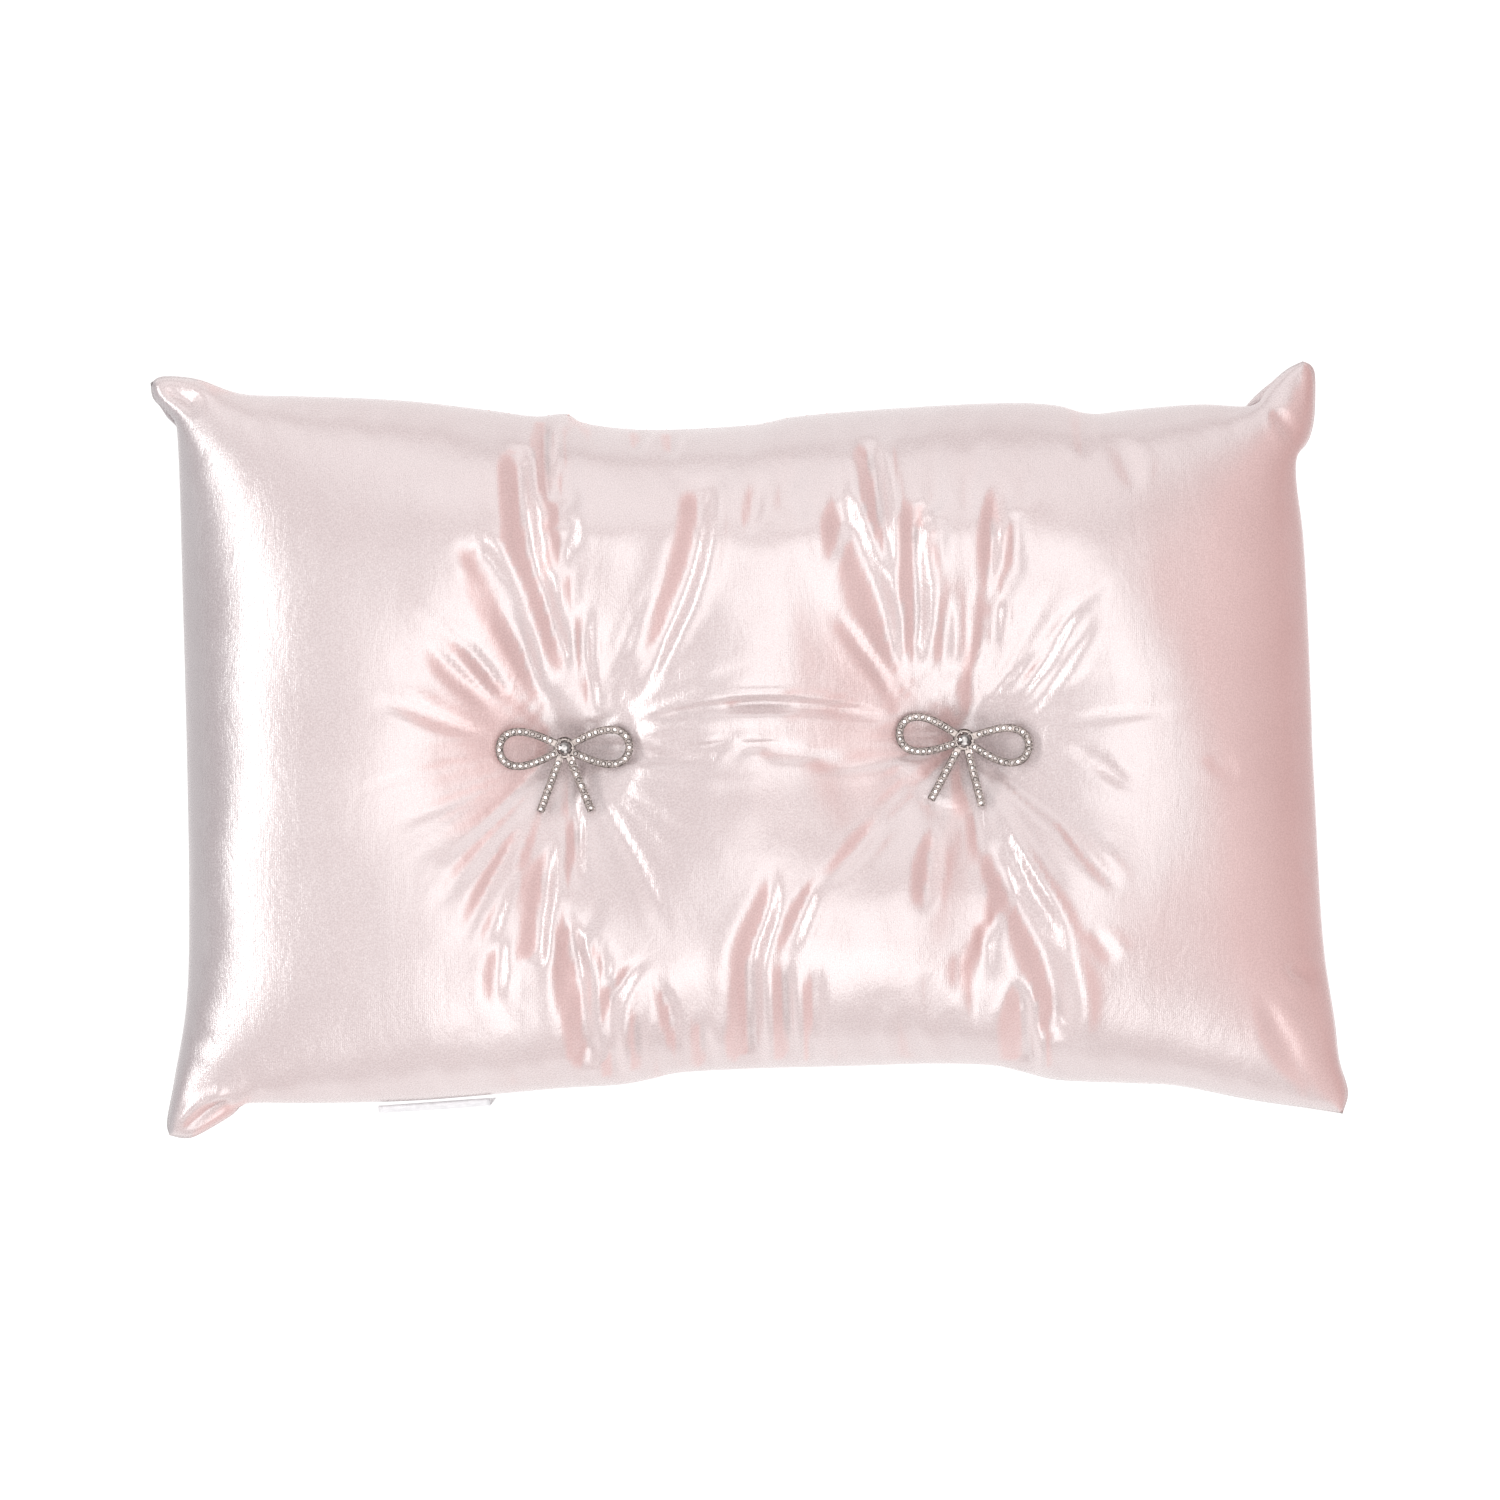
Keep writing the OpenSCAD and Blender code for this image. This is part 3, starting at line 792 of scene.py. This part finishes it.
def rim_order(rows, cols):
    """The points round the edge of a grid, in order."""
    cell = np.arange(rows * cols).reshape(rows, cols)
    return np.concatenate((cell[0, :-1], cell[:-1, -1], cell[-1, :0:-1], cell[:0:-1, 0]))


def panel_piece(name, points, uv, lean, up):
    """A panel from its grid of points, with its seam allowance turned in and its thickness given."""
    rows, cols = points.shape[:2]
    rim = rim_order(rows, cols)
    flat = points.reshape(-1, 3)
    edge = flat[rim]
    way = 1 if up else -1
    inward = -edge[:, :2] / (np.array((HALF_L, HALF_W)) * MM)
    rings = []
    for depth, sink in TURN_IN:
        ring = edge.copy()
        ring[:, :2] += inward * depth
        ring[:, 2] -= way * sink
        rings.append(ring)
    faces = [tuple(f) for f in grid_faces(rows, cols, flip=not up)]
    n = rows * cols
    count = len(rim)
    hoops = [rim] + [n + k * count + np.arange(count) for k in range(len(rings))]
    for a, b in zip(hoops[:-1], hoops[1:]):
        for k in range(count):
            m = (k + 1) % count
            quad = (a[k], b[k], b[m], a[m])
            faces.append(quad if up else quad[::-1])
    piece = new_piece(name, np.vstack([flat] + rings), faces)
    uv = uv.reshape(-1, 2)
    give_uv(piece, np.vstack([uv] + [uv[rim]] * len(rings)))
    # Each point's lean, how far it faces +X, from which the velvet paints its light and shade
    mark = piece.data.attributes.new("lean", "FLOAT", "POINT")
    leans = np.concatenate([lean.ravel()] + [lean.ravel()[rim]] * len(rings))
    mark.data.foreach_set("value", leans.astype(np.float32))
    thicken(piece, VELVET_T, -1)
    return dress(piece, VELVET)


def panel_points(rows, cols, height):
    """A panel's grid before its creases. The height is given by a function of u, v and the plan."""
    u, v = np.meshgrid(stations(cols), stations(rows))
    xy = even_plan(u, v)
    return u, v, np.dstack((xy, height(u, v, xy)))


TOP_GRID = 161, 237
TRIAL_GRID = 81, 119
UNDER_GRID = 111, 161
FILLING_GRID = 49, 73

# In the lean that sets the velvet's painted shade, a fold's flank counts as facing +X by no more than this,
# so that folds are painted paler than the pillow's side
FOLD_LEAN = 0.34
# Away from the left end, no cloth faces -X by more than this, so that the painted dark mauve reflection stays
# at the left end
LEFT_END, LEAST_LEAN = -0.1, -0.14
# Along the long seams, up to this place from the middle, the velvet keeps the pale colour of its painted
# light
BESIDE_SEAM, SEAM_REACH = 0.93, 0.116

# The velvet stays below this height as far as a bow reaches from its tuft, so that the bow can turn
UNDER_BOW = 52.9 * MM
BOW_REACH = 18 * MM
CAP_SOFTNESS = 0.3 * MM


def make_top_panel():
    u, v, points = panel_points(*TOP_GRID, top_height)
    cu, cv, coarse = panel_points(*TRIAL_GRID, top_height)
    held = (np.abs(cu) == 1) | (np.abs(cv) == 1)
    for tuft in TUFTS.values():
        held |= from_tuft(coarse[..., :2], tuft) < 5 * MM
    move = inflate(coarse, held, pressure=2.0, slack=0.035, frames=22, cap=4 * MM)
    middle = middle_of(coarse[..., 0], 4, 88, 6)
    ease = middle * (0.12 + 0.48 * smoothstep((from_edge(cu, cv) - 8) / 30))
    points = points + refine(move * ease[..., None], *TOP_GRID)
    xy = points[..., :2]
    dip = seam_ripple(u, v, xy, 40)
    middle = middle_of(xy[..., 0], 4, 92, 6)
    dip += waves(xy, 51, 14, (30, 60), 0.007) + waves(xy, 52, 18, (8, 18), 0.009) * middle
    for tuft, folds in ((np.zeros(2), EAR_FOLDS), (LEFT_TUFT, LEFT_FOLDS), (RIGHT_TUFT, RIGHT_FOLDS)):
        for line, depth, west, east in folds:
            place = [(x + tuft[0] / MM, y + tuft[1] / MM) for x, y in line]
            dip += fold(xy, place, depth, west, east)
    dip += fan(xy, LEFT_TUFT, 42, 11, (24, 56), 0.42)
    dip += fan(xy, RIGHT_TUFT, 42, 12, (22, 50), 0.4)
    smooth = outward(points)
    points = points + smooth * (dip * smoothstep(from_edge(u, v) / 4))[..., None]
    points[..., 2] = np.maximum(points[..., 2], seam_height(u, v) + SEAM_GAP + 0.8 * lip(u, v))
    for tuft in TUFTS.values():
        beyond = np.maximum(from_tuft(points[..., :2], tuft) - BOW_REACH, 0)
        over = (points[..., 2] - UNDER_BOW - beyond * 0.7) / CAP_SOFTNESS
        points[..., 2] -= CAP_SOFTNESS * np.log1p(np.exp(np.minimum(over, 30)))
    # The lean, which sets the velvet's painted light and shade: the broad slope's facing, with the folds' own
    # facing up to FOLD_LEAN
    along_side = (np.abs(v) > BESIDE_SEAM) & (np.abs(xy[..., 0]) < SEAM_REACH)
    broad = np.where(along_side, np.minimum(smooth[..., 0], FOLD_LEAN / 2), smooth[..., 0])
    lean = np.maximum(broad, np.minimum(outward(points)[..., 0], FOLD_LEAN))
    lean = np.where(xy[..., 0] < LEFT_END, lean, np.maximum(lean, LEAST_LEAN))
    uv = np.dstack((u * CLOTH_L, v * CLOTH_W))
    return panel_piece("top_velvet", points, uv, lean, True)


def make_bottom_panel():
    u, v, points = panel_points(*UNDER_GRID, under_height)
    xy = points[..., :2]
    dip = seam_ripple(u, v, xy, 70)
    for k, tuft in enumerate(TUFTS.values()):
        dip += fan(xy, tuft, 22, 31 + k, (22, 44), 1.3)
    clear = smoothstep(points[..., 2] / (4 * MM))
    smooth = outward(points)
    points = points - smooth * (dip * smoothstep(from_edge(u, v) / 4) * clear)[..., None]
    points[..., 2] = np.maximum(points[..., 2], 0)
    uv = np.dstack((u * CLOTH_L, v * CLOTH_W))
    # The lean for the underside's painted light and shade, flipped because the panel's outward side faces
    # down, and held near its middle colours where x is within SEAM_REACH of the middle
    lean = -smooth[..., 0]
    lean = np.where(np.abs(xy[..., 0]) < SEAM_REACH, np.clip(lean, -FOLD_LEAN / 2, FOLD_LEAN / 2), lean)
    return panel_piece("bottom_velvet", points, uv, lean, False)


# The filling stops short of the cover: in from its edge, in millimetres, and inside each panel
FILLING_INSET = 6.5
FILLING_GAP = 4.6 * MM


def make_filling():
    """The fibre filling: the inside of the cover, closed round its rim."""
    _, _, upper = panel_points(*FILLING_GRID, top_height)
    _, _, lower = panel_points(*FILLING_GRID, under_height)
    inset = 1 - np.array((FILLING_INSET / HALF_L, FILLING_INSET / HALF_W))
    upper[..., :2] *= inset
    lower[..., :2] *= inset
    middle = (upper[..., 2] + lower[..., 2]) / 2
    upper[..., 2] = np.maximum(upper[..., 2] - FILLING_GAP, middle + SEAM_GAP)
    lower[..., 2] = np.minimum(lower[..., 2] + FILLING_GAP, middle - SEAM_GAP)
    rim = rim_order(*FILLING_GRID)
    n = FILLING_GRID[0] * FILLING_GRID[1]
    faces = [tuple(f) for f in grid_faces(*FILLING_GRID)]
    faces += [tuple(f) for f in grid_faces(*FILLING_GRID, flip=True) + n]
    for k in range(len(rim)):
        a, b = rim[k], rim[(k + 1) % len(rim)]
        faces.append((a, a + n, b + n, b))
    piece = new_piece("fibre_filling", np.vstack((upper.reshape(-1, 3), lower.reshape(-1, 3))), faces)
    return dress(piece, FIBRE)


# ---- Bows ----

# A bow, in millimetres: its underside's height, its strand's thickness and the channel's depth in it
BOW_Z = 53.2
FRAME_T = 1.1
CHANNEL_DEPTH = 0.22
# Each loop's length and half its width; the pitch of the stones
LOOP_A, LOOP_B = 15.95, 4.25
STONE_PITCH = 1.5
# The angle round a loop where its first stone sits, and a tail's length before its first
FIRST_SEAT = 80
TIP_MARGIN = 0.8
BEAD_R, BEAD_OFF = 0.27, 0.7
TAIL_TOP, TAIL_TIP = (1.1, -2.2), (6.3, -15.6)


def in_edit_mode(*steps):
    """Does some modelling steps on the active piece's selected faces."""
    bpy.ops.object.mode_set(mode="EDIT")
    for step in steps:
        step()
    bpy.ops.object.mode_set(mode="OBJECT")


def copy_of_node(node, name):
    """A new piece with a CAD node's shape, its loose triangles merged."""
    piece = new_object(name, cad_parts[node].data.copy())
    piece.data.name = name
    pick(piece)
    in_edit_mode(
        lambda: bpy.ops.mesh.select_all(action="SELECT"),
        lambda: bpy.ops.mesh.remove_doubles(threshold=0.000002),
        lambda: bpy.ops.mesh.select_all(action="DESELECT"),
    )
    return piece


def select_faces(piece, test):
    """Leaves selected the faces for which test(centre, normal) is true."""
    mesh = piece.data
    for element in list(mesh.vertices) + list(mesh.edges):
        element.select = False
    for face in mesh.polygons:
        face.select = test(face.center, face.normal)


def cylinder(sides, radius, depth, place=(0, 0, 0)):
    deselect()
    bpy.ops.mesh.primitive_cylinder_add(vertices=sides, radius=radius, depth=depth, location=place)
    piece = bpy.context.object
    settle(piece)
    return piece


def faces_up(_, normal):
    return normal.z > 0.9


def extrude(move, scale=None):
    def step():
        bpy.ops.mesh.extrude_region_move(TRANSFORM_OT_translate={"value": move})
        if scale:
            bpy.ops.transform.resize(value=scale)

    return step


def rounded(piece, width, segments=2, angle=35):
    bevel = piece.modifiers.new("bevel", "BEVEL")
    bevel.width = width
    bevel.segments = segments
    bevel.limit_method = "ANGLE"
    bevel.angle_limit = math.radians(angle)
    bevel.use_clamp_overlap = True
    finish_modifiers(piece)
    pick(piece)
    bpy.ops.object.shade_smooth_by_angle(angle=math.radians(angle))


def make_bow_frame(side):
    """The strand: a channel with a raised edge on each side, in which the stones sit."""
    node = f"bow_frame_{side}"
    piece = copy_of_node(node, f"strand_{side}")
    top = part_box(node)[1].z
    select_faces(piece, lambda centre, normal: normal.z > 0.9 and centre.z > top - 0.0001)
    in_edit_mode(
        lambda: bpy.ops.mesh.select_mode(type="FACE"),
        lambda: bpy.ops.mesh.inset(thickness=0.24 * MM, use_boundary=True, use_even_offset=True),
        lambda: bpy.ops.transform.translate(value=(0, 0, -CHANNEL_DEPTH * MM)),
    )
    rounded(piece, 0.09 * MM)
    return dress(piece, SILVER)


def bow_place(side, x, y, z):
    """A place given in the bow's own frame, in millimetres, as metres in the pillow's."""
    c, s = math.cos(BOW_TURN[side]), math.sin(BOW_TURN[side])
    tuft = TUFTS[side]
    return (tuft[0] + (c * x - s * y) * MM, tuft[1] + (s * x + c * y) * MM, z * MM)


def strand_seats():
    """The places of the stones on one half of a bow, with the strand's direction at each, in millimetres."""
    seats = []
    t = -FIRST_SEAT
    while t <= FIRST_SEAT:
        a = math.radians(t)
        way = (-LOOP_A * math.sin(a), 2 * LOOP_B * math.cos(2 * a))
        size = math.hypot(*way)
        seats.append((LOOP_A * math.cos(a), LOOP_B * math.sin(2 * a), way[0] / size, way[1] / size))
        t += STONE_PITCH / size * 180 / math.pi
    dx, dy = TAIL_TOP[0] - TAIL_TIP[0], TAIL_TOP[1] - TAIL_TIP[1]
    length = math.hypot(dx, dy)
    for k in range(int((length - TIP_MARGIN) // STONE_PITCH)):
        share = (TIP_MARGIN + k * STONE_PITCH) / length
        seats.append((TAIL_TIP[0] + dx * share, TAIL_TIP[1] + dy * share, dx / length, dy / length))
    return seats


def model_stone(name, radius, girdle, crown, table, sides):
    """A cut stone: a girdle, a sloping crown of facets and a flat table, and the cone below it."""
    piece = cylinder(sides, radius, girdle, (0, 0, girdle / 2))
    piece.name = name
    select_faces(piece, faces_up)
    wide = 1 - (1 - table) * 0.45
    in_edit_mode(
        extrude((0, 0, crown * 0.6), (wide, wide, 1)),
        extrude((0, 0, crown * 0.4), (table / wide, table / wide, 1)),
    )
    select_faces(piece, lambda centre, normal: normal.z < -0.9)
    in_edit_mode(extrude((0, 0, -girdle * 0.8), (0.45, 0.45, 1)))
    return piece


def placed_copies(name, model, places):
    """One piece made of copies of a model, each moved and turned to its own place."""
    points, faces = [], []
    base = np.array([v.co for v in model.data.vertices], float)
    corners = [tuple(p.vertices) for p in model.data.polygons]
    smooth = [p.use_smooth for p in model.data.polygons]
    for (x, y, z), turn in places:
        c, s = math.cos(turn), math.sin(turn)
        shift = len(points) * len(base)
        turned = np.stack((c * base[:, 0] - s * base[:, 1], s * base[:, 0] + c * base[:, 1], base[:, 2]), 1)
        points.append(turned + np.array((x, y, z)))
        faces += [tuple(i + shift for i in f) for f in corners]
    piece = new_piece(name, np.vstack(points), faces, smooth=False)
    piece.data.polygons.foreach_set("use_smooth", smooth * len(places))
    return piece


def make_stones(side, model):
    draw = np.random.default_rng(5 if side == "left" else 6)
    places = []
    z = BOW_Z + FRAME_T - CHANNEL_DEPTH
    for mirror in (1, -1):
        for x, y, _, _ in strand_seats():
            places.append((bow_place(side, mirror * x, y, z), draw.uniform(0, math.pi)))
    return dress(placed_copies(f"stones_{side}", model, places), CRYSTAL)


def make_beads(side, model):
    """Two small beads of metal between each stone and the next, which hold the stones in the strand."""
    places = []
    z = BOW_Z + FRAME_T + 0.02
    seats = strand_seats()
    for mirror in (1, -1):
        for (x0, y0, wx0, wy0), (x1, y1, wx1, wy1) in zip(seats[:-1], seats[1:]):
            if math.hypot(x1 - x0, y1 - y0) > 2 * STONE_PITCH:
                continue
            x, y, wx, wy = (x0 + x1) / 2, (y0 + y1) / 2, (wx0 + wx1) / 2, (wy0 + wy1) / 2
            for hand in (1, -1):
                off = hand * BEAD_OFF
                places.append((bow_place(side, mirror * (x + off * wy), y - off * wx, z), 0.0))
    return dress(placed_copies(f"beads_{side}", model, places), SILVER)


def model_bead():
    deselect()
    bpy.ops.mesh.primitive_ico_sphere_add(subdivisions=2, radius=BEAD_R * MM)
    piece = bpy.context.object
    piece.name = "bead_model"
    in_edit_mode(lambda: bpy.ops.transform.resize(value=(1, 1, 1.25)))
    bpy.ops.object.shade_smooth()
    return piece


CUP_R = 2.3 * MM
CLAWS = 6


def make_setting(side):
    """The cup in the middle of a bow: a collar and six claws bent over its stone."""
    x, y, _ = bow_place(side, 0, 0, 0)
    low = (BOW_Z + FRAME_T) * MM
    cup = cylinder(40, CUP_R, 1.2 * MM, (x, y, low + 0.6 * MM))
    select_faces(cup, faces_up)
    in_edit_mode(lambda: bpy.ops.mesh.inset(thickness=0.42 * MM), extrude((0, 0, -0.8 * MM)))
    rounded(cup, 0.08 * MM)
    claws = []
    for k in range(CLAWS):
        a = math.radians(360 / CLAWS * k) + BOW_TURN[side]
        place = (x + CUP_R * math.cos(a), y + CUP_R * math.sin(a), low + 0.85 * MM)
        claw = cylinder(12, 0.3 * MM, 1.7 * MM, place)
        select_faces(claw, faces_up)
        lean = (-0.5 * MM * math.cos(a), -0.5 * MM * math.sin(a), 0.1 * MM)
        in_edit_mode(extrude(lean, (0.7, 0.7, 0.7)))
        rounded(claw, 0.08 * MM)
        claws.append(claw)
    return dress(join(f"cup_{side}", [cup] + claws), SILVER)


def make_centre_stone(side):
    piece = model_stone(f"centre_stone_{side}", 1.78 * MM, 0.7 * MM, 0.75 * MM, 0.42, 10)
    piece.location = bow_place(side, 0, 0, BOW_Z + FRAME_T + 0.75)
    settle(piece)
    return dress(piece, CENTRE_CRYSTAL)


# ---- Thread, label and buttons ----


def rim_points(count_u, count_v):
    """Points round the seam in plan, in order, and their heights."""
    u, v = stations(count_u), stations(count_v)
    ring = [(a, -1.0) for a in u[:-1]] + [(1.0, b) for b in v[:-1]]
    ring += [(a, 1.0) for a in u[:0:-1]] + [(-1.0, b) for b in v[:0:-1]]
    ring = np.array(ring)
    return plan(ring[:, 0], ring[:, 1]), seam_height(ring[:, 0], ring[:, 1])


# The machine stitching's distance in from the edge, in millimetres, and its thread's radius
STITCH_IN = 5
THREAD_R = 0.13 * MM


def make_seam_stitching():
    """The machine stitching that joins the two allowances."""
    xy, z = rim_points(161, 101)
    inner = xy * (1 - np.array((STITCH_IN / HALF_L, STITCH_IN / HALF_W)))
    sides = 6
    way = np.roll(inner, -1, 0) - np.roll(inner, 1, 0)
    way /= np.linalg.norm(way, axis=1)[:, None]
    out = np.stack((way[:, 1], -way[:, 0]), 1)
    points, faces = [], []
    count = len(inner)
    for k in range(count):
        m = (k + 1) % count
        for s in range(sides):
            a = 2 * math.pi * s / sides
            t = (s + 1) % sides
            points.append((*(inner[k] + out[k] * THREAD_R * math.cos(a)), z[k] + THREAD_R * math.sin(a)))
            faces.append((k * sides + s, m * sides + s, m * sides + t, k * sides + t))
    return dress(new_piece("seam_stitching", points, faces), SEWING_THREAD)


# The part of the far seam that was closed by hand, from -1 to 1, and its stitches
CLOSED_PART = -0.42, 0.16
CLOSING_STITCHES = 18


def make_closing_stitches():
    """The hand stitches that close the far seam, each a short bar of thread over the two folded edges."""
    model = cylinder(10, 0.2 * MM, 1.9 * MM)
    rounded(model, 0.09 * MM)
    spots = on_side("top", np.linspace(*CLOSED_PART, CLOSING_STITCHES))
    places = [((x, y - 0.12 * MM, SEAM), 0.0) for x, y in spots]
    piece = placed_copies("closing_thread", model, places)
    bpy.data.objects.remove(model)
    return dress(piece, SEWING_THREAD)


LABEL_TURN = math.radians(4.03)
LABEL_W, LABEL_DROP = 28 * MM, 25 * MM
# The tape, in millimetres: where it leaves the seam, its length, its bend's length and the bend's reach
LABEL_PLACE = (-79, -88.01)
TAPE, TAPE_BEND, BEND_REACH = 27.5, 3, 1.9


def make_label():
    """The care label: a folded tape that leaves the seam, turns down and hangs with a slight wave."""
    rows, cols = 30, 25
    s = np.linspace(0, 1, rows)
    t = np.linspace(-0.5, 0.5, cols)
    down = np.clip(s * TAPE - TAPE_BEND, 0, None)
    turn = np.clip(s * TAPE / TAPE_BEND, 0, 1) * math.pi / 2
    out = BEND_REACH * np.sin(turn)
    drop = BEND_REACH * (1 - np.cos(turn)) + down
    points = np.zeros((rows, cols, 3))
    wave = np.sin(t * 7.5 + 0.6)[None] * 0.35 * s[:, None] ** 1.2
    out = out[:, None] + wave + 0.25 * s[:, None] ** 2
    x = np.broadcast_to(t[None] * LABEL_W / MM, (rows, cols))
    c, n = math.cos(LABEL_TURN), math.sin(LABEL_TURN)
    points[..., 0] = (LABEL_PLACE[0] + c * x + n * out) * MM
    points[..., 1] = (LABEL_PLACE[1] + n * x - c * out) * MM
    points[..., 2] = SEAM - drop[:, None] * MM
    piece = new_piece("care_tape", points.reshape(-1, 3), grid_faces(rows, cols, flip=True))
    give_uv(piece, np.dstack((x * MM, np.broadcast_to(s[:, None] * LABEL_DROP, (rows, cols)))).reshape(-1, 2))
    thicken(piece, 0.3 * MM, 0)
    return dress(piece, LABEL_TAPE)


def make_button(side):
    piece = copy_of_node(f"back_button_{side}", f"button_{side}")
    rounded(piece, 0.35 * MM, segments=3)
    return dress(piece, BUTTON)


# ---- Build ----


def install(piece, slot, body, *nodes):
    """Hides the CAD nodes that a piece stands for, if any, and attaches the piece to the body it rides on.
    The slot is not used.
    """
    if nodes:
        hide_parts(*nodes)
    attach(piece, body)
    return piece


filling = install(make_filling(), "fibre_filling", "cushion", "filling")

for maker, node in ((make_top_panel, "top_panel"), (make_bottom_panel, "bottom_panel")):
    panel = install(maker(), "velvet", "cushion", node)

for maker, node in ((make_seam_stitching, "seam_thread"), (make_closing_stitches, "closing_stitches")):
    install(maker(), "sewing_thread", "cushion", node)

label = install(make_label(), "label_tape", "label", "care_label")

stone = model_stone("stone_model", 0.66 * MM, 0.28 * MM, 0.4 * MM, 0.58, 8)
bead = model_bead()
for side in ("left", "right"):
    body = f"bow_{side}"
    install(make_bow_frame(side), "silver_plate", body, f"bow_frame_{side}")
    install(make_stones(side, stone), "crystal", body, f"bow_stones_{side}")
    install(make_setting(side), "silver_plate", body, f"bow_setting_{side}")
    install(make_centre_stone(side), "crystal", body, f"bow_centre_stone_{side}")
    install(make_beads(side, bead), "silver_plate", body)
    install(make_button(side), "button_plastic", "cushion", f"back_button_{side}")
    dress(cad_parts[f"bow_shank_{side}"], SILVER)
    dress(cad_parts[f"tuft_thread_{side}"], SEWING_THREAD)
for model in (stone, bead):
    bpy.data.objects.remove(model)


# ---- Floor and light ----


def make_floor():
    """The pale floor, just below the pillow so that the two don't flicker."""
    deselect()
    bpy.ops.mesh.primitive_plane_add(size=12, location=(0, 0, -0.0002))
    floor = bpy.context.object
    floor.name = "floor"
    m = Nodes("pale_floor")
    m.set(Base_Color=(0.32, 0.32, 0.32, 1), Roughness=0.9, Emission_Color=(1, 1, 1, 1), Emission_Strength=0.8)
    dress(floor, m.material)


# The height on the pillow that the lights face
LIT_HEIGHT = 0.04


def softbox(name, azimuth, elevation, distance, width, height, radiance, colour=(1, 1, 1)):
    """A flat soft light that faces the pillow. Azimuth 0 is +X and 90 is +Y."""
    data = bpy.data.lights.new(name, "AREA")
    data.shape = "RECTANGLE"
    data.size = width
    data.size_y = height
    data.energy = radiance * math.pi * width * height
    data.color = colour
    lamp = new_object(name, data)
    a, e = math.radians(azimuth), math.radians(elevation)
    out = distance * math.cos(e)
    lamp.location = (out * math.cos(a), out * math.sin(a), LIT_HEIGHT + distance * math.sin(e))
    lamp.rotation_euler = (math.pi / 2 - e, 0, a + math.pi / 2)
    lamp.visible_camera = False


def make_lights():
    softbox("window_left", 180, 33, 1.6, 1.4, 0.28, 9.4, (1.0, 0.985, 0.975))
    softbox("window_front", -84, 50, 1.6, 1.0, 1.2, 2.35, (1.0, 0.985, 0.98))
    softbox("overhead", 0, 84, 2.0, 1.1, 0.95, 1.05)
    softbox("overhead_wide", 0, 82, 1.9, 1.4, 1.7, 0.95)
    softbox("back_fill", 90, 36, 1.8, 1.7, 1.5, 0.9)
    world = bpy.data.worlds.new("studio")
    world.use_nodes = True
    sky = world.node_tree.nodes["Background"]
    sky.inputs["Color"].default_value = (1.0, 0.95, 0.95, 1)
    sky.inputs["Strength"].default_value = 0.58
    bpy.context.scene.world = world
    bpy.context.scene.view_settings.view_transform = "Standard"


make_floor()
make_lights()
